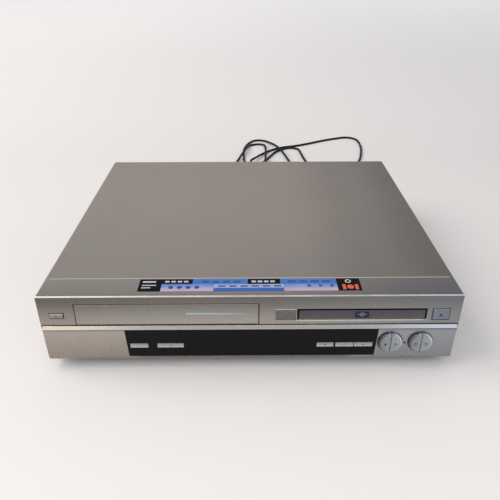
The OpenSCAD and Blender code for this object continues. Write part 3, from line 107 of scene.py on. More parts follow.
def corner_points(before, corner, after, first, last, steps):
    """The curve that rounds one corner of the lead's route, as wide as its neighbours allow."""
    a, b = before - corner, after - corner
    cut = min(a.length * (1.0 if first else 0.5), b.length * (1.0 if last else 0.5))
    a, b = a.normalized(), b.normalized()
    weight = math.sqrt(max(0.0, (1 - a.dot(b)) / 2))
    start, end = corner + a * cut, corner + b * cut
    points = []
    for i in range(steps + 1):
        t = i / steps
        p, q, r = (1 - t) ** 2, 2 * weight * t * (1 - t), t * t
        points.append((start * p + corner * q + end * r) / (p + q + r))
    return points


def rounded_route(route, steps=10):
    """The lead's middle line, with every corner of its route rounded."""
    corners = [Vector(p) * MM for p in route]
    line = [corners[0]]
    last = len(corners) - 2
    for i in range(1, len(corners) - 1):
        for p in corner_points(*corners[i - 1:i + 2], i == 1, i == last, steps):
            if (p - line[-1]).length > SAME_POINT:
                line.append(p)
    if (corners[-1] - line[-1]).length > SAME_POINT:
        line.append(corners[-1])
    return line


def tube_curve(name, points, radius):
    """A round curve through the points."""
    data = bpy.data.curves.new(name, "CURVE")
    data.dimensions = "3D"
    data.bevel_depth = 1.0
    data.bevel_resolution = 6
    data.use_fill_caps = True
    spline = data.splines.new("POLY")
    spline.points.add(len(points) - 1)
    for point, place in zip(spline.points, points):
        point.co = (*place, 1.0)
        point.radius = radius
    piece = bpy.data.objects.new(name, data)
    scene.collection.objects.link(piece)
    return piece


lead_line = rounded_route(CORD_ROUTE)
lead = tube_curve("mains_lead", lead_line, CORD_D * MM / 2)
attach(lead, "housing")
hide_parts("mains_cord")


# ---- Materials ----
class Shader:
    """A principled material with the node helpers that the finishes share."""

    def __init__(self, name):
        self.material = bpy.data.materials.new(name)
        self.material.use_nodes = True
        self.tree = self.material.node_tree
        self.tree.nodes.clear()
        self.output = self.new("ShaderNodeOutputMaterial")
        self.body = self.new("ShaderNodeBsdfPrincipled")
        self.link(self.body.outputs[0], self.output.inputs["Surface"])
        self.coords = self.new("ShaderNodeTexCoord").outputs["Object"]

    @classmethod
    def of(cls, material):
        """The helpers for a material that exists."""
        s = cls.__new__(cls)
        s.material, s.tree = material, material.node_tree
        s.body = next(n for n in s.tree.nodes if n.type == "BSDF_PRINCIPLED")
        s.coords = next(n for n in s.tree.nodes if n.type == "TEX_COORD").outputs["Object"]
        return s

    def new(self, kind, **values):
        made = self.tree.nodes.new(kind)
        for key, value in values.items():
            setattr(made, key, value)
        return made

    def link(self, source, target):
        self.tree.links.new(source, target)

    def put(self, target, value):
        if hasattr(value, "is_linked"):
            self.link(value, target)
        else:
            target.default_value = value

    def stretched(self, scale):
        mapping = self.new("ShaderNodeMapping")
        mapping.inputs["Scale"].default_value = scale
        self.link(self.coords, mapping.inputs["Vector"])
        return mapping.outputs[0]

    def noise(self, scale, detail=2.0, rough=0.5, stretch=None, seed=0.0):
        made = self.new("ShaderNodeTexNoise", noise_dimensions="4D")
        made.inputs["Scale"].default_value = scale
        made.inputs["Detail"].default_value = detail
        made.inputs["Roughness"].default_value = rough
        made.inputs["W"].default_value = seed
        self.link(self.stretched(stretch) if stretch else self.coords, made.inputs["Vector"])
        return made.outputs[0]

    def ramp(self, factor, stops, smooth=False):
        made = self.new("ShaderNodeValToRGB")
        made.color_ramp.interpolation = "EASE" if smooth else "LINEAR"
        elements = made.color_ramp.elements
        while len(elements) < len(stops):
            elements.new(0.5)
        for element, (place, colour) in zip(elements, stops):
            element.position = place
            element.color = colour
        self.link(factor, made.inputs[0])
        return made.outputs[0]

    def mix(self, factor, a, b, blend="MIX"):
        made = self.new("ShaderNodeMix", data_type="RGBA", blend_type=blend)
        self.put(made.inputs[0], factor)
        self.put(made.inputs[6], a)
        self.put(made.inputs[7], b)
        return made.outputs[2]

    def math(self, operation, a, b=0.0, clamp=False):
        made = self.new("ShaderNodeMath", operation=operation, use_clamp=clamp)
        self.put(made.inputs[0], a)
        self.put(made.inputs[1], b)
        return made.outputs[0]

    def remap(self, value, low, high, from_low=0.3, from_high=0.7):
        made = self.new("ShaderNodeMapRange")
        self.link(value, made.inputs[0])
        made.inputs[1].default_value = from_low
        made.inputs[2].default_value = from_high
        made.inputs[3].default_value = low
        made.inputs[4].default_value = high
        return made.outputs[0]

    def axis(self, name):
        made = self.new("ShaderNodeSeparateXYZ")
        self.link(self.coords, made.inputs[0])
        return made.outputs[name]

    def along(self, name, start, end):
        """From 0 at start to 1 at end along an axis, in millimetres."""
        return self.remap(self.axis(name), 0, 1, start * MM, end * MM)

    def past(self, name, place):
        """1 where the axis is past a place in millimetres, and 0 before it."""
        return self.math("GREATER_THAN", self.axis(name), place * MM)

    def before(self, name, place):
        """1 where the axis is before a place in millimetres, and 0 past it."""
        return self.math("LESS_THAN", self.axis(name), place * MM)

    def within(self, name, low, high):
        return self.math("MULTIPLY", self.past(name, low), self.before(name, high))

    def facing(self, name):
        """How far the surface faces along an axis, from -1 to 1."""
        normal = self.new("ShaderNodeSeparateXYZ")
        self.link(self.new("ShaderNodeNewGeometry").outputs["True Normal"], normal.inputs[0])
        return normal.outputs[name]

    def across(self, stops):
        """A ramp from the left end of the casing to the right end."""
        return self.ramp(self.along("X", -SIDE_X, SIDE_X), stops, True)


def scaled(colour, factor):
    """A colour made darker or lighter, no lighter than full."""
    return tuple(min(1.0, c * factor) for c in colour[:3]) + (1.0,)


def grey(level):
    """A level as a colour."""
    return (level, level, level, 1.0)


def finish(name, colour, rough, metal=0.0, mottle=(40, 0.05), grain=(1500, 0.05),
           rough_change=0.05, bump=(1500, 0.00002), stretch=None, coat=0.0, specular=0.5,
           edge=0.00035, wear_and_sheen=0.0, tint=None):
    """A painted, moulded or metal finish with mottling, grain, soft edges, and edges lightened in
    patches, partly as rubbed wear and partly as a painted highlight.

    mottle and grain hold a noise scale and a share of the colour, bump a noise scale and a
    height in metres, and tint a noise scale, a share and the colour that it brings in.
    """
    s = Shader(name)
    clouds = s.remap(s.noise(mottle[0], 3.0, 0.55, None, 1.3), 0, 1)
    base = s.mix(clouds, scaled(colour, 1 - mottle[1]), scaled(colour, 1 + mottle[1]))
    if tint:
        patches = s.remap(s.noise(tint[0], 2.0, 0.5, None, 7.1), 0, 1)
        base = s.mix(s.math("MULTIPLY", patches, tint[1]), base, tint[2])
    specks = s.ramp(s.noise(grain[0], 1.0, 0.5, stretch, 4.2),
                    [(0.3, grey(1 - grain[1])), (0.7, grey(1 + grain[1]))])
    base = s.mix(1.0, base, specks, "MULTIPLY")
    bevel = s.new("ShaderNodeBevel", samples=4)
    bevel.inputs["Radius"].default_value = edge
    # Edges lightened in patches: partly rubbed wear, partly a painted highlight along the edges
    if wear_and_sheen:
        geometry = s.new("ShaderNodeNewGeometry")
        dot = s.new("ShaderNodeVectorMath", operation="DOT_PRODUCT")
        s.link(bevel.outputs[0], dot.inputs[0])
        s.link(geometry.outputs["Normal"], dot.inputs[1])
        rim = s.math("MULTIPLY", s.math("SUBTRACT", 1.0, dot.outputs["Value"]), 6.0, True)
        patches = s.remap(s.noise(160, 3.0, 0.6, None, 2.2), 0.0, wear_and_sheen)
        base = s.mix(s.math("MULTIPLY", rim, patches, True), base, scaled(colour, 1.35))
    s.link(base, s.body.inputs["Base Color"])
    s.link(s.remap(s.noise(mottle[0] * 3.1, 3.0, 0.6, None, 9.0), rough - rough_change,
                   rough + rough_change), s.body.inputs["Roughness"])
    s.body.inputs["Metallic"].default_value = metal
    s.body.inputs["Specular IOR Level"].default_value = specular
    s.body.inputs["Coat Weight"].default_value = coat
    s.body.inputs["Coat Roughness"].default_value = 0.08
    raised = s.new("ShaderNodeBump")
    raised.inputs["Strength"].default_value = 1.0
    raised.inputs["Distance"].default_value = bump[1]
    s.link(s.noise(bump[0], 2.0, 0.5, stretch, 5.5), raised.inputs["Height"])
    s.link(bevel.outputs[0], raised.inputs["Normal"])
    s.link(raised.outputs[0], s.body.inputs["Normal"])
    return s.material


def recoloured(material, change):
    """Give a finish the colour change(s, colour)."""
    s = Shader.of(material)
    base = s.body.inputs["Base Color"]
    s.link(change(s, base.links[0].from_socket), base)
    return material


def tinted(material, tone):
    """Multiply a finish's colour by the tone tone(s)."""
    return recoloured(material, lambda s, colour: s.mix(1.0, colour, tone(s), "MULTIPLY"))


def paint(node, material):
    """Give a node of the part its only material."""
    mesh = nodes[node].data
    mesh.materials.clear()
    mesh.materials.append(material)


PANEL_INSIDE = rgb(14, 14, 16)
# Painted light and shade along the width: a share of the way from left to right, and a colour
# Painted light on the front's upper and lower faces: warm at the left, cooler and darker at the
# right
UPPER_LIGHT_ACROSS = [(0.0, (0.86, 0.83, 0.8, 1)), (0.42, (1.0, 0.985, 0.965, 1)),
                (0.75, (0.9, 0.92, 0.95, 1)), (1.0, (0.72, 0.79, 0.89, 1))]
LOWER_LIGHT_ACROSS = [(0.0, (0.96, 0.91, 0.89, 1)), (0.5, (0.97, 0.965, 0.95, 1)),
                (0.84, (0.81, 0.88, 0.97, 1)), (1.0, (0.74, 0.81, 0.96, 1))]
# Painted shade on the ledge, darker towards the right
LEDGE_SHADE_ACROSS = [(0.0, (0.68, 0.68, 0.66, 1)), (0.5, (0.7, 0.69, 0.68, 1)),
                (1.0, (0.38, 0.39, 0.45, 1))]
# Painted highlight along the front's top edge, brightest at the left
EDGE_HIGHLIGHT_ACROSS = [(0.0, rgb(200, 193, 182)), (0.35, rgb(178, 170, 166)), (0.5, rgb(158, 154, 152)),
               (0.7, rgb(150, 150, 152)), (1.0, rgb(154, 161, 171))]
# Painted shade on the top, darker towards the right
COVER_SHADE_ACROSS = [(0.0, (0.88, 0.89, 0.87, 1)), (0.3, (0.92, 0.91, 0.91, 1)),
                (0.6, (0.9, 0.89, 0.9, 1)), (0.82, (0.68, 0.7, 0.7, 1)),
                (1.0, (0.47, 0.5, 0.51, 1))]
# Painted reflections on the trim: warm at the left, cool at the right
TRIM_REFLECTION_ACROSS = [(0.0, (0.92, 0.87, 0.78, 1)), (0.4, (0.7, 0.69, 0.68, 1)),
               (0.7, (0.66, 0.67, 0.69, 1)), (1.0, (0.76, 0.83, 0.94, 1))]
# Painted shade up the front at its left and right: a height in millimetres, and a level;
# darker towards the top and the bottom, with painted shadow lines under and over the trim
LEFT_SHADE_RISE = [(15, 0.7), (50, 0.98), (52.8, 0.93), (53.9, 0.4), (60.9, 0.24), (61.5, 0.8),
             (64, 0.84), (75, 0.66), (84, 0.47), (90, 0.38), (94, 0.36)]
RIGHT_SHADE_RISE = [(15, 0.8), (50, 0.98), (52.6, 0.9), (53.7, 0.28), (61.1, 0.2), (61.7, 0.76),
             (64, 0.8), (75, 0.74), (84, 0.62), (90, 0.54), (94, 0.52)]
RISE_SPAN = 100
# Places on the front panel, in millimetres: the ribbed recess beside the tray, the sill under
# the tray, which gets painted light, and how deep the silver paint goes into an opening and how
# much deeper on the sill
RECESS_X, RECESS_Z = (26.2, 47.8), (65.8, 78.5)
SILL_X = (48, 183)
PAINT_DEPTH = 1.3
PAINT_FADE = (1.1, 1.6)
SILL_PAINT = 3.0
# Half the tray front's width, in millimetres, past which its ends are painted black as shade
TRAY_FRONT_HALF = 65.0


def face_painted_light(s, scale=1.0):
    """Painted light and shade on the front: darker towards its top, with painted shadow lines along
    the trim, and warm light at the left turning cool at the right.
    """
    warm, cool = (s.ramp(s.along("Z", 0, RISE_SPAN),
                         [(z / RISE_SPAN, grey(level * scale)) for z, level in levels])
                  for levels in (LEFT_SHADE_RISE, RIGHT_SHADE_RISE))
    rise = s.mix(s.along("X", 20, 200), warm, cool)
    width = s.mix(s.past("Z", 57.5), s.across(LOWER_LIGHT_ACROSS), s.across(UPPER_LIGHT_ACROSS))
    return s.mix(1.0, rise, width, "MULTIPLY")


def face_depth(s):
    """How far a point lies behind the swept front, in metres."""
    radius = SWEEP_R * MM
    height = s.math("SUBTRACT", BODY_H * MM, s.axis("Z"))
    sweep = s.math("SQRT", s.math("SUBTRACT", radius ** 2, s.math("MULTIPLY", height, height)))
    face = s.math("MAXIMUM", s.math("SUBTRACT", sweep, radius), -FACE_SWEEP * MM)
    return s.math("SUBTRACT", s.math("SUBTRACT", s.axis("Y"), FACE_Y * MM), face)


def panel_tone(s, depth, edge):
    """The tones of the front, the ledge over it, its side walls and its recesses: painted light and
    shade on the front, painted shade on the ledge, and a painted shadow on the lip under the
    window.
    """
    # Painted shade on the ledge: darker just behind the front's top edge and towards the right
    ledge_shade = s.ramp(s.along("Y", FACE_Y + 1.2, FACE_Y + 30),
                        [(0.0, grey(0.72)), (0.12, grey(0.86)), (1.0, grey(1.0))])
    ledge = s.mix(1.0, s.across(LEDGE_SHADE_ACROSS), ledge_shade, "MULTIPLY")
    side_wall = s.math("GREATER_THAN", edge, (SIDE_X - 0.7) * MM)
    tone = s.mix(s.math("LESS_THAN", depth, PAINT_DEPTH * MM), s.mix(side_wall, ledge, grey(0.72)),
                 face_painted_light(s))
    recess = s.math("MULTIPLY", s.within("X", *RECESS_X), s.within("Z", *RECESS_Z))
    recess = s.math("MULTIPLY", recess, s.math("GREATER_THAN", depth, 0.00015))
    tone = s.mix(recess, tone, (0.44, 0.43, 0.48, 1))
    # Painted shadow along the lip under the window
    lip_shadow = s.math("MULTIPLY", s.along("X", -125, -112), s.along("X", 112, 100))
    lip_shadow = s.math("MULTIPLY", lip_shadow, s.before("Z", WINDOW_LOW))
    return s.mix(s.math("MULTIPLY", lip_shadow, 0.38), tone, grey(0.0))


def panel_finish(name):
    """Silver paint on the faces that show; bare dark plastic inside the openings and behind; a
    painted highlight along the top front edge and painted light on the sill under the tray.
    """
    material = finish(name, rgb(178, 172, 165), 0.29, metal=0.6, mottle=(22, 0.02),
                      grain=(2600, 0.02), bump=(1500, 0.000003), wear_and_sheen=0.4)
    s = Shader.of(material)
    edge = s.math("ABSOLUTE", s.axis("X"))
    depth = face_depth(s)
    off_sill = s.math("ABSOLUTE", s.math("SUBTRACT", s.axis("Z"), TRAY_SLOT_Z * MM))
    sill = s.math("LESS_THAN", off_sill, 0.0003)
    reach = s.math("SUBTRACT", depth, s.math("MULTIPLY", sill, SILL_PAINT * MM))
    inside = s.math("MULTIPLY", s.remap(reach, 0, 1, *(d * MM for d in PAINT_FADE)),
                    s.along("Z", 94.2, 93.8))
    inside = s.math("MULTIPLY", inside,
                    s.remap(edge, 1, 0, (SIDE_X - 2.5) * MM, (SIDE_X - 1.5) * MM))
    # Painted highlight along the front's top edge
    corner = s.math("MULTIPLY", s.past("Z", 94.8), s.math("LESS_THAN", depth, PAINT_DEPTH * MM))
    # Painted light on the sill under the tray, where the tray front shades it
    sill_painted_light = s.math("MULTIPLY", s.within("X", *SILL_X), sill)

    def colours(s, colour):
        colour = s.mix(1.0, colour, panel_tone(s, depth, edge), "MULTIPLY")
        colour = s.mix(corner, colour, s.across(EDGE_HIGHLIGHT_ACROSS))
        colour = s.mix(sill_painted_light, colour, rgb(246, 240, 234))
        return s.mix(inside, colour, PANEL_INSIDE)

    recoloured(material, colours)
    s.link(s.math("MULTIPLY", s.math("SUBTRACT", 1.0, inside), 0.6), s.body.inputs["Metallic"])
    return material


def cover_painted_shade(s):
    """Painted shade: the top darker to the right and to the front, and the sides held at one darker
    level.
    """
    near = s.ramp(s.along("Y", -150, 0), [(0.0, (0.87, 0.88, 0.9, 1)), (1.0, grey(1.0))])
    return s.mix(s.along("Z", 91.5, 94.5), grey(0.86),
                 s.mix(1.0, s.across(COVER_SHADE_ACROSS), near, "MULTIPLY"))


def trim_painted_light(s):
    """Painted reflections, warm at the left and cool at the right, with a painted shadow along the
    lower edge.
    """
    return s.mix(1.0, s.across(TRIM_REFLECTION_ACROSS),
                 s.ramp(s.along("Z", 55.2, 56.4), [(0.0, (0.3, 0.3, 0.31, 1)), (1.0, grey(1.0))]),
                 "MULTIPLY")


def door_gap_shade(s, colour):
    """Painted shade where the door's edges turn into the gaps at its top and right end."""
    rim = s.math("MAXIMUM", s.past("X", DOOR_RIGHT - 0.3),
                 s.math("MULTIPLY", s.past("Z", DOOR_TOP - 0.5), 0.8))
    return s.mix(rim, colour, rgb(30, 29, 29))


def window_button_shading(s):
    """Bands of painted light and shade up the small buttons in the window, darkest at the top."""
    return s.ramp(s.along("Z", 30.3, 36.3),
                  [(0.0, (0.8, 0.79, 0.79, 1)), (0.28, grey(1.0)), (0.5, (0.7, 0.69, 0.69, 1)),
                   (0.74, grey(0.8)), (0.86, (0.45, 0.45, 0.46, 1)), (1.0, (0.2, 0.2, 0.21, 1))])


def round_button_shading(s):
    """Painted shade on each round button, which brightens from its left to its right."""
    pitch = ROUND_X[1] - ROUND_X[0]
    left = ROUND_X[0] - ROUND_R
    share = s.math("DIVIDE", s.math("SUBTRACT", s.axis("X"), left * MM), pitch * MM)
    return s.ramp(s.math("FRACT", share),
                  [(0.0, (0.6, 0.59, 0.58, 1)), (0.12, (0.74, 0.73, 0.71, 1)),
                   (0.36, (0.88, 0.87, 0.86, 1)), (0.7, grey(1.0))])


def round_button_rim_light(s, colour):
    """A painted reflection on the right rim and painted shade on the left one."""
    colour = s.mix(s.math("GREATER_THAN", s.facing("X"), 0.25), colour, rgb(214, 222, 236))
    return s.mix(s.math("LESS_THAN", s.facing("X"), -0.25), colour, rgb(92, 93, 98))


def power_shading(s):
    """The front's painted light and shade, with a painted highlight on the upper edge."""
    return s.mix(s.math("GREATER_THAN", s.facing("Z"), 0.35), face_painted_light(s, 1.12),
                 (0.74, 0.72, 0.69, 1))


def tray_front_light_and_shade(s, colour):
    """Painted shade, darker and cooler towards the top, a painted highlight on the lower edge, and
    painted black shade along the top and both ends where the gap is.
    """
    rise = s.ramp(s.along("Z", 65.5, 78),
                  [(0.0, (1.0, 0.93, 0.84, 1)), (0.3, (1.0, 0.95, 0.9, 1)),
                   (0.42, (0.88, 0.88, 0.9, 1)), (1.0, (0.72, 0.73, 0.77, 1))])
    colour = s.mix(1.0, colour, rise, "MULTIPLY")
    colour = s.mix(s.before("Z", 66.8), colour, rgb(212, 205, 200))
    off_middle = s.math("ABSOLUTE", s.math("SUBTRACT", s.axis("X"), TRAY_X * MM))
    rim = s.math("MAXIMUM", s.past("Z", 77.5),
                 s.math("GREATER_THAN", off_middle, TRAY_FRONT_HALF * MM))
    return s.mix(rim, colour, rgb(14, 14, 16))


cover_paint = finish("cover_paint", rgb(163, 156, 147), 0.42, metal=0.55, mottle=(9, 0.03),
                     grain=(2200, 0.06), tint=(14, 0.4, rgb(174, 150, 144)), wear_and_sheen=0.6)
tinted(cover_paint, cover_painted_shade)
silver = panel_finish("silver_casing")
door_silver = finish("door_silver", rgb(180, 176, 171), 0.29, metal=0.6, mottle=(22, 0.02),
                     grain=(2600, 0.02), bump=(1500, 0.000003), wear_and_sheen=0.4)
recoloured(tinted(door_silver, face_painted_light), door_gap_shade)
bright = finish("bright_trim", rgb(240, 236, 230), 0.2, metal=0.9, mottle=(60, 0.015),
                grain=(2000, 0.015), rough_change=0.03, bump=(900, 0.000002), edge=0.0006)
tinted(bright, trim_painted_light)
highlight_strip = finish("highlight_strip", rgb(212, 206, 194), 0.35, metal=0.5, mottle=(60, 0.02))
smoked = finish("smoked_window", rgb(6, 7, 10), 0.1, mottle=(30, 0.08), grain=(1800, 0.06),
                rough_change=0.02, bump=(60, 0.000004), specular=0.145)
button_silver = finish("button_silver", rgb(196, 190, 186), 0.26, metal=0.6, mottle=(90, 0.02),
                       grain=(2400, 0.02), bump=(1500, 0.000003), wear_and_sheen=0.6)
tinted(button_silver, window_button_shading)
round_silver = finish("round_button_silver", rgb(163, 167, 176), 0.26, metal=0.6,
                      mottle=(90, 0.02), grain=(2400, 0.02), wear_and_sheen=0.6)
recoloured(tinted(round_silver, round_button_shading), round_button_rim_light)
power_silver = finish("power_silver", rgb(172, 167, 160), 0.27, metal=0.6, mottle=(90, 0.03),
                      grain=(2400, 0.04), wear_and_sheen=0.6)
tinted(power_silver, power_shading)
open_silver = finish("open_button_silver", rgb(122, 127, 139), 0.3, metal=0.55,
                     mottle=(420, 0.16), grain=(2400, 0.08), wear_and_sheen=0.6)
tray_grey = finish("tray_grey", rgb(89, 87, 91), 0.3, metal=0.5, mottle=(40, 0.06),
                   grain=(2400, 0.05), wear_and_sheen=0.5, stretch=(0.08, 1, 1))
recoloured(tray_grey, tray_front_light_and_shade)
tray_plastic = finish("tray_plastic", rgb(58, 60, 63), 0.5, mottle=(40, 0.06),
                      grain=(1600, 0.08), bump=(1400, 0.00004))
zinc_sheet = finish("zinc_sheet", rgb(178, 181, 184), 0.34, metal=0.85, mottle=(70, 0.035),
                    grain=(900, 0.05), rough_change=0.1, wear_and_sheen=0.4)
machined = finish("machined_steel", rgb(196, 197, 200), 0.24, metal=0.95, mottle=(60, 0.03),
                  grain=(3000, 0.05), stretch=(1, 1, 14), wear_and_sheen=0.3)
motor_can = finish("motor_can", rgb(166, 168, 170), 0.32, metal=0.9, mottle=(80, 0.05))
pale_plastic = finish("pale_plastic", rgb(224, 220, 208), 0.45, mottle=(70, 0.04),
                      bump=(900, 0.00002))
BLACK_PLASTIC = dict(colour=rgb(38, 38, 41), rough=0.45, mottle=(70, 0.1), grain=(1500, 0.12),
                     bump=(1300, 0.00005))
black_plastic = finish("black_plastic", **BLACK_PLASTIC)
black_rubber = finish("black_rubber", rgb(30, 30, 31), 0.75, mottle=(60, 0.14),
                      grain=(900, 0.15), bump=(800, 0.00008), specular=0.35)
lead_black = finish("lead_black", rgb(13, 13, 14), 0.55, mottle=(60, 0.12), grain=(700, 0.1),
                    bump=(500, 0.00005), specular=0.3)
green_board = finish("circuit_board", rgb(36, 92, 58), 0.4, mottle=(50, 0.12), grain=(500, 0.14))
tan_board = finish("power_board", rgb(176, 136, 82), 0.5, mottle=(50, 0.08), grain=(600, 0.1))
glass = finish("display_glass", rgb(44, 52, 54), 0.15, mottle=(50, 0.06), coat=0.5)
mark_grey = finish("mark_grey", rgb(70, 70, 74), 0.5, mottle=(90, 0.06))
mark_dark = finish("mark_dark", rgb(34, 34, 40), 0.5, mottle=(90, 0.06))

FINISHES = {
    cover_paint: ["top_cover"],
    silver: ["front_panel"],
    door_silver: ["cassette_door"],
    bright: ["trim_strip"],
    smoked: ["window_panel"],
    glass: ["display_tube"],
    button_silver: ["source_button", "cassette_eject_button", "record_button",
                    "channel_down_button", "channel_up_button"],
    round_silver: ["stop_button", "rewind_button", "play_button", "forward_button"],
    power_silver: ["power_button"],
    open_silver: ["tray_open_button"],
    tray_grey: ["tray_front"],
    tray_plastic: ["disc_tray", "loader_frame", "traverse_plate"],
    zinc_sheet: ["chassis_base", "holder_bracket", "cassette_holder", "holder_slider",
                 "deck_plate", "clamp_bridge", "tuner_can"],
    machined: ["sled_rods", "lower_drum", "head_drum", "capstan", "pinch_arm", "guide_left",
               "guide_right", "tape_heads", "cover_screws", "door_spring"],
    motor_can: ["tray_motor", "loading_motor"],
    pale_plastic: ["tray_gear", "disc_turntable", "disc_clamp", "ribbon_cables"],
    black_plastic: ["supply_reel", "takeup_reel", "laser_sled", "scart_sockets", "digital_sockets"],
    black_rubber: ["pinch_roller", "feet"],
    lead_black: ["strain_relief", "mains_plug"],
    green_board: ["main_board", "control_board", "switch_boards", "disc_board"],
    tan_board: ["power_supply"],
}
for material, names in FINISHES.items():
    for name in names:
        paint(name, material)
lead.data.materials.append(lead_black)

# Phono sockets: each one's place across in millimetres, and its ring's colour
RING_YELLOW, RING_WHITE, RING_RED = rgb(222, 186, 40), rgb(224, 222, 214), rgb(176, 34, 30)
PHONO_RINGS = [(56, RING_YELLOW), (72, RING_WHITE), (88, RING_RED), (112, RING_WHITE),
               (128, RING_RED)]
HOLE_R, BARREL_R, RING_R = 1.8, 4.2, 6.4


def phono_finish():
    """Black plastic with a nickel barrel and a coloured ring at each socket."""
    material = finish("phono_plastic", **BLACK_PLASTIC)
    s = Shader.of(material)
    flat = s.new("ShaderNodeCombineXYZ")
    s.link(s.axis("X"), flat.inputs[0])
    s.link(s.axis("Z"), flat.inputs[2])
    colour, metal = s.body.inputs["Base Color"].links[0].from_socket, 0.0
    for x, ring_colour in PHONO_RINGS:
        away = s.new("ShaderNodeVectorMath", operation="DISTANCE")
        s.link(flat.outputs[0], away.inputs[0])
        away.inputs[1].default_value = (x * MM, 0.0, PHONO_Z * MM)
        away = away.outputs["Value"]
        barrel = s.math("MULTIPLY", s.math("LESS_THAN", away, BARREL_R * MM),
                        s.math("GREATER_THAN", away, HOLE_R * MM))
        colour = s.mix(s.math("LESS_THAN", away, RING_R * MM), colour, ring_colour)
        colour = s.mix(s.math("LESS_THAN", away, HOLE_R * MM), colour, rgb(24, 24, 26))
        colour = s.mix(barrel, colour, rgb(196, 194, 188))
        metal = s.math("MAXIMUM", barrel, metal)
    s.link(colour, s.body.inputs["Base Color"])
    s.link(s.math("MULTIPLY", metal, 0.9), s.body.inputs["Metallic"])
    return material


paint("phono_sockets", phono_finish())


# ---- Flat marks, strips and the sticker ----
ROUND_SIDES = 28
# In millimetres: how far a plate is let into its face, and how thick a mark and a layer are
SUNK = 0.02
INK = 0.05
LAYER = 0.06


def face_back(z):
    """How far back the front face lies at a height, in millimetres from its top edge."""
    return -FACE_SWEEP if z < TRIM_TOP else -SWEEP_R + math.sqrt(SWEEP_R ** 2 - (BODY_H - z) ** 2)


def disc(u, v, r):
    """A circle about (u, v)."""
    turns = [2 * math.pi * i / ROUND_SIDES for i in range(ROUND_SIDES)]
    return [(u + r * math.cos(turn), v + r * math.sin(turn)) for turn in turns]


def bar(u0, v0, u1, v1):
    """A rectangle between two corners."""
    return [(u0, v0), (u1, v0), (u1, v1), (u0, v1)]


def block(u, v, width, height):
    """A rectangle about (u, v)."""
    return bar(u - width / 2, v - height / 2, u + width / 2, v + height / 2)


def wedge(u, v, size, way):
    """A triangle about (u, v) that points left, right, up or down."""
    dx, dy = {"left": (-1, 0), "right": (1, 0), "up": (0, 1), "down": (0, -1)}[way]
    tip = (u + dx * size * 0.55, v + dy * size * 0.55)
    base = (u - dx * size * 0.45, v - dy * size * 0.45)
    side = (-dy * size * 0.6, dx * size * 0.6)
    return [tip, (base[0] + side[0], base[1] + side[1]), (base[0] - side[0], base[1] - side[1])]


def ring(u, v, outer, inner):
    """The cells of a flat ring."""
    a, b = disc(u, v, outer), disc(u, v, inner)
    after = [(i + 1) % ROUND_SIDES for i in range(ROUND_SIDES)]
    return [[a[i], a[j], b[j], b[i]] for i, j in enumerate(after)]


def plate(name, outlines, place, thick, body, material):
    """Thin plates cut to outlines in a face. place(u, v, lift) gives the point lift above it."""
    mesh = bmesh.new()
    for outline in outlines:
        top = [mesh.verts.new(place(u, v, thick)) for u, v in outline]
        under = [mesh.verts.new(place(u, v, -SUNK)) for u, v in outline]
        mesh.faces.new(top)
        mesh.faces.new(list(reversed(under)))
        for i in range(len(top)):
            j = (i + 1) % len(top)
            mesh.faces.new([top[i], under[i], under[j], top[j]])
    bmesh.ops.remove_doubles(mesh, verts=mesh.verts, dist=1e-7)
    bmesh.ops.recalc_face_normals(mesh, faces=mesh.faces)
    data = bpy.data.meshes.new(name)
    mesh.to_mesh(data)
    mesh.free()
    data.materials.append(material)
    piece = bpy.data.objects.new(name, data)
    scene.collection.objects.link(piece)
    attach(piece, body)
    return piece


def on_face(proud):
    """Places (across, height) on the front, a distance in front of the swept face."""
    return lambda u, v, lift: at(u, face_back(v) - proud - lift, v)


def on_level(back):
    """Places (across, height) on an upright plane a distance behind the front's top edge."""
    return lambda u, v, lift: at(u, back - lift, v)


def on_top(height):
    """Places (across, back) on a level plane at a height."""
    return lambda u, v, lift: at(u, v, height + lift)


# Folded front edge of the cover: a light strip along the seam, as a painted highlight
plate("cover_hem", [bar(-SIDE_X + 5, LEDGE + 0.35, SIDE_X - 5, LEDGE + 1.5)],
      on_top(BODY_H - SUNK), LAYER, "housing", highlight_strip)

# Sticker on the ledge: plain blocks, bars and discs, in millimetres behind the front's top edge
STICKER_LEFT, STICKER_RIGHT = -115.6, 115.4
STICKER_NEAR, STICKER_FAR = 8.2, 29.6
LEFT_BLOCK, RIGHT_BLOCK = -92, 90.8
BAND_LEFT, BAND_RIGHT = -37.7, 35.3
LINE_TOP = 9.6


def fade(name, near, far, low, high):
    """Print that fades from one colour to another, between two distances back."""
    s = Shader(name)
    drift = s.remap(s.noise(45, 2.0, 0.5, None, 3.0), -0.16, 0.16)
    share = s.math("ADD", s.along("Y", low + FACE_Y, high + FACE_Y), drift)
    s.link(s.ramp(share, [(0.0, near), (1.0, far)]), s.body.inputs["Base Color"])
    s.link(s.remap(s.noise(300, 2.0, 0.5, None, 1.0), 0.28, 0.4), s.body.inputs["Roughness"])
    return s.material


print_blue = fade("print_blue", rgb(150, 162, 205), rgb(46, 90, 168), STICKER_NEAR, STICKER_FAR)
print_deep = fade("print_deep", rgb(34, 82, 168), rgb(52, 112, 182), STICKER_NEAR, STICKER_FAR)
print_pale = fade("print_pale", rgb(186, 172, 188), rgb(80, 122, 196), LINE_TOP, 19.5)
print_black = finish("print_black", rgb(13, 14, 17), 0.3, mottle=(90, 0.08), specular=0.06)
print_mist = finish("print_mist", rgb(150, 162, 200), 0.35, mottle=(90, 0.04))
print_white = finish("print_white", rgb(190, 194, 206), 0.35, mottle=(90, 0.03))
print_navy = finish("print_navy", rgb(38, 58, 120), 0.35, mottle=(90, 0.06))
print_red = finish("print_red", rgb(214, 88, 52), 0.35, mottle=(90, 0.05))
print_pink = finish("print_pink", rgb(196, 152, 164), 0.35, mottle=(90, 0.04))


def sticker(name, outlines, layer, material):
    plate("sticker_" + name, outlines, on_top(BODY_H + LAYER * layer), LAYER, "housing", material)


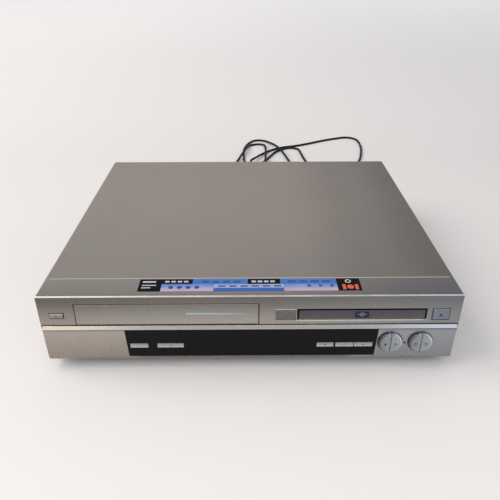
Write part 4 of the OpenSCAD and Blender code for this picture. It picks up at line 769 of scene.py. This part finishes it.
def bar_row(count, pitch, u0, v0, u1, v1):
    """Bars side by side, the first between two corners."""
    return [bar(u0 + pitch * i, v0, u1 + pitch * i, v1) for i in range(count)]


sticker("ground", [bar(STICKER_LEFT, STICKER_NEAR, STICKER_RIGHT, STICKER_FAR)], 0, print_blue)
sticker("blocks", [bar(STICKER_LEFT, STICKER_NEAR, LEFT_BLOCK, STICKER_FAR),
                   bar(RIGHT_BLOCK, STICKER_NEAR, STICKER_RIGHT, STICKER_FAR),
                   bar(LEFT_BLOCK, 21, -60, STICKER_FAR), bar(-2.2, 20.4, 31.8, STICKER_FAR)],
        1, print_black)
sticker("deep", [bar(-60, 21, -2.2, STICKER_FAR), bar(31.8, 20.4, RIGHT_BLOCK, STICKER_FAR),
                 bar(BAND_LEFT, STICKER_NEAR, BAND_RIGHT, 13.8)], 1, print_deep)
sticker("pale", [bar(LEFT_BLOCK, LINE_TOP, BAND_LEFT, 21),
                 bar(BAND_RIGHT, LINE_TOP, RIGHT_BLOCK, 14.5)], 1, print_pale)
sticker("mist", [bar(BAND_LEFT, 13.8, BAND_RIGHT, 20.4)], 1, print_mist)
sticker("lines", [bar(LEFT_BLOCK, STICKER_NEAR, BAND_LEFT, LINE_TOP),
                  bar(BAND_RIGHT, STICKER_NEAR, RIGHT_BLOCK, LINE_TOP)], 1, print_pink)
sticker("white_marks",
        [bar(-112.4, 23.6, -98.4, 26.2), bar(-112.4, 18, -97.6, 19.6),
         bar(-112.4, 13.8, -103, 15.4)] + ring(103, 24.8, 3.2, 1.8)
        + bar_row(4, 6.6, -89, 23.8, -84.4, 26.6) + bar_row(4, 6.6, 1.6, 23.4, 6.4, 26.4),
        2, print_white)
sticker("navy_marks",
        [disc(-82 + 9 * i, 15, 2.6) for i in range(4)]
        + bar_row(4, 11, -50, 23.6, -43, 26.2) + bar_row(6, 11.6, -33, 15.8, -25.4, 18)
        + [wedge(62 + 12 * i, 17.2, 4.4, "right") for i in range(3)]
        + bar_row(4, 12, 40, 23.8, 48, 26.2), 2, print_navy)
sticker("red_marks", [disc(104.2, 14.8, 3.6), bar(96, 10.2, 99.4, 19.2),
                      bar(109, 10.2, 112.4, 19.2)], 2, print_red)

# Soft stripe on the cassette door
STRIPE_LEFT, STRIPE_RIGHT = -66, -4
STRIPE_STEPS = 24


def stripe_finish():
    """Soft metallic print that turns from pale green to lilac along its length."""
    s = Shader("soft_stripe")
    hue = s.ramp(s.along("X", STRIPE_LEFT, STRIPE_RIGHT),
                 [(0.0, rgb(158, 194, 198)), (0.35, rgb(150, 200, 210)),
                  (0.7, rgb(166, 172, 200)), (1.0, rgb(158, 154, 160))], True)
    specks = s.remap(s.noise(500, 2.0, 0.5, None, 2.0), 0, 0.25)
    s.link(s.mix(specks, hue, rgb(205, 205, 205)), s.body.inputs["Base Color"])
    s.body.inputs["Metallic"].default_value = 0.4
    s.link(s.remap(s.noise(90, 2.0, 0.5, None, 5.0), 0.25, 0.4), s.body.inputs["Roughness"])
    return s.material


shares = [i / STRIPE_STEPS for i in range(STRIPE_STEPS + 1)]
stripe_length = STRIPE_RIGHT - STRIPE_LEFT
stripe_top = [(STRIPE_LEFT + stripe_length * share, 75.1 - 0.6 * share) for share in shares]
stripe_low = [(STRIPE_RIGHT - stripe_length * share, 73.1 + 0.5 * share) for share in shares]
plate("door_stripe", [stripe_top + stripe_low], on_face(0), INK, "cassette_door",
      stripe_finish())

# Plain marks on the buttons: middles in millimetres across, and up for the two on the upper face
EJECT_X, RECORD_X, DOWN_X, UP_X = -84.5, 79.8, 100.3, 120.4
OPEN_X, OPEN_Z = 197.1, 72.0
POWER_X, POWER_Z = -199.15, 72.4
LINE = 0.5
left_x, right_x = ROUND_X
round_face = on_level(-FACE_SWEEP - 4.0)
window_button_face = on_level(-FACE_SWEEP - 1.0)
# Each mark: its name, the button that it rides on, its material, its face and its outlines
MARKS = [
    ("stop", "stop_button", mark_dark, round_face,
     [block(left_x - 5.4, ROUND_Z - 1.0, 2.4, 2.4)]),
    ("play", "play_button", mark_grey, round_face,
     [wedge(left_x + 5.6, ROUND_Z - 0.6, 2.6, "right")]),
    ("rewind", "rewind_button", mark_grey, round_face,
     [wedge(right_x - 6.6, ROUND_Z - 0.2, 2.0, "left"),
      wedge(right_x - 4.8, ROUND_Z - 0.2, 2.0, "left"),
      block(right_x - 5.8, ROUND_Z - 2.55, 4.0, LINE)]),
    ("forward", "forward_button", mark_grey, round_face,
     [wedge(right_x + 4.8, ROUND_Z - 0.2, 2.0, "right"),
      wedge(right_x + 6.6, ROUND_Z - 0.2, 2.0, "right"),
      block(right_x + 5.8, ROUND_Z - 2.55, 4.0, LINE)]),
    ("eject_cassette", "cassette_eject_button", mark_grey, window_button_face,
     [wedge(EJECT_X, BUTTON_Z + 0.3, 1.3, "up"), block(EJECT_X, BUTTON_Z - 0.75, 1.6, 0.3)]),
    ("record", "record_button", mark_dark, window_button_face, [disc(RECORD_X, BUTTON_Z, 0.9)]),
    ("down", "channel_down_button", mark_dark, window_button_face,
     [block(DOWN_X, BUTTON_Z, 2.2, LINE)]),
    ("up", "channel_up_button", mark_dark, window_button_face,
     [block(UP_X, BUTTON_Z, 2.2, LINE), block(UP_X, BUTTON_Z + 0.675, LINE, 0.85),
      block(UP_X, BUTTON_Z - 0.675, LINE, 0.85)]),
    ("open", "tray_open_button", mark_dark, on_face(0.6),
     [wedge(OPEN_X, OPEN_Z, 2.8, "up"), block(OPEN_X, OPEN_Z - 1.95, 3.4, 0.7)]),
    ("power", "power_button", mark_dark, on_face(1.2), [block(POWER_X, POWER_Z, 1.9, 1.0)]),
]
for name, button, material, face, outlines in MARKS:
    plate("mark_" + name, outlines, face, INK, button, material)

# Plain badge in the tray's pocket, with a disc on it
badge_blue = finish("badge_blue", rgb(20, 25, 58), 0.3, mottle=(120, 0.08), specular=0.3)
badge_pale = finish("badge_pale", rgb(140, 148, 180), 0.3, mottle=(120, 0.05))
DISC_Z = TRAY_MID + 0.5
plate("tray_badge_ground", [block(TRAY_X, TRAY_MID, 17.8, 5.4)], on_face(-0.34), 0.33,
      "disc_tray", tray_grey)
plate("tray_badge", [block(TRAY_X, TRAY_MID + 0.1, 14.6, 7.6)], on_face(0), 0.1, "disc_tray",
      badge_blue)
plate("tray_badge_disc",
      ring(TRAY_X, DISC_Z, 2.3, 1.5) + ring(TRAY_X, DISC_Z, 0.8, 0.3)
      + [block(TRAY_X - 3.8, DISC_Z, 1.6, 0.8), block(TRAY_X + 3.8, DISC_Z, 1.6, 0.8)],
      on_face(0.11), 0.03, "disc_tray", badge_pale)

# Raised line along the top of the ribbed recess beside the tray, whose light colour is a painted
# highlight
plate("recess_line", [bar(26.4, 78.4, 47.6, 79.2)], on_face(0), 0.1, "housing", highlight_strip)

# ---- Floor and light ----
FLOOR_SIZE = 30
# What the camera sees of the floor: a share of its colour taken off, and a level of light
# added, which changes with the frame's Y from LIFT_NEAR to LIFT_FAR, in millimetres
FLOOR_DIMMED = 0.15
LIFT_NEAR, LIFT_FAR = -350, 3650
FLOOR_LIFT = [(0.0, 0.11), (0.04, 0.085), (0.09, 0.04), (0.2, 0.035), (0.275, 0.07),
              (0.46, 0.12), (0.66, 0.2), (0.91, 0.275), (1.0, 0.3)]


def floor_finish():
    """A pale floor that looks evenly lit, and lights the player as a plain one does."""
    s = Shader("floor")
    colour = s.mix(s.along("X", -700, 700), rgb(246, 242, 239), rgb(236, 233, 230))
    rays = s.new("ShaderNodeLightPath")
    seen = s.math("ADD", rays.outputs["Is Camera Ray"], rays.outputs["Is Glossy Ray"])
    seen = s.math("ADD", seen, rays.outputs["Is Transmission Ray"], True)
    colour = s.mix(s.math("MULTIPLY", seen, FLOOR_DIMMED), colour, grey(0.0))
    lift = s.ramp(s.along("Y", LIFT_NEAR, LIFT_FAR),
                  [(share, grey(level)) for share, level in FLOOR_LIFT])
    s.link(colour, s.body.inputs["Base Color"])
    s.link(s.math("MULTIPLY", seen, lift), s.body.inputs["Emission Strength"])
    s.body.inputs["Emission Color"].default_value = (1.0, 0.985, 0.98, 1.0)
    s.body.inputs["Roughness"].default_value = 0.8
    s.body.inputs["Specular IOR Level"].default_value = 0.2
    return s.material


bpy.ops.mesh.primitive_plane_add(size=FLOOR_SIZE, location=(0, 0, 0))
floor = bpy.context.object
floor.name = "floor"
floor.data.materials.append(floor_finish())


def studio_world(left, right, strength):
    """An even sky whose colour changes softly from the left to the right."""
    world = bpy.data.worlds.new("studio")
    world.use_nodes = True
    nodes_of, link = world.node_tree.nodes, world.node_tree.links.new
    background = nodes_of["Background"]
    direction = nodes_of.new("ShaderNodeSeparateXYZ")
    link(nodes_of.new("ShaderNodeTexCoord").outputs["Generated"], direction.inputs[0])
    turn = nodes_of.new("ShaderNodeMapRange")
    turn.inputs["From Min"].default_value = -0.6
    turn.inputs["From Max"].default_value = 0.6
    link(direction.outputs["X"], turn.inputs[0])
    tint = nodes_of.new("ShaderNodeMix")
    tint.data_type = "RGBA"
    tint.inputs[6].default_value = left
    tint.inputs[7].default_value = right
    link(turn.outputs[0], tint.inputs[0])
    link(tint.outputs[2], background.inputs["Color"])
    background.inputs["Strength"].default_value = strength
    return world


def soft_box(name, place, target, size, watts, colour=(1, 1, 1)):
    """A rectangular lamp at a place, turned to its target."""
    data = bpy.data.lights.new(name, "AREA")
    data.shape = "RECTANGLE"
    data.size, data.size_y = size
    data.energy = watts
    data.color = colour
    lamp = bpy.data.objects.new(name, data)
    lamp.location = place
    aim = Vector(target) - Vector(place)
    lamp.rotation_euler = aim.to_track_quat("-Z", "Y").to_euler()
    scene.collection.objects.link(lamp)


scene.world = studio_world((1.0, 1.0, 1.02, 1.0), (0.82, 0.84, 0.87, 1.0), 0.62)
soft_box("key", (-3.0, -0.3, 3.0), (0, 0, 0.05), (3.2, 3.2), 106, (1.0, 0.98, 0.965))
soft_box("front_box", (0, -1.44, 1.77), (0, -0.18, 0.09), (2.6, 0.5), 8.5)
soft_box("left_card", (-0.95, -1.5, 0.6), (-0.2, -0.18, 0.07), (0.9, 0.5), 0.58,
         (1.0, 0.88, 0.7))
soft_box("right_card", (0.9, -1.5, 0.6), (0.2, -0.18, 0.07), (0.7, 0.5), 0.42,
         (0.66, 0.83, 1.0))

bpy.context.view_layer.update()
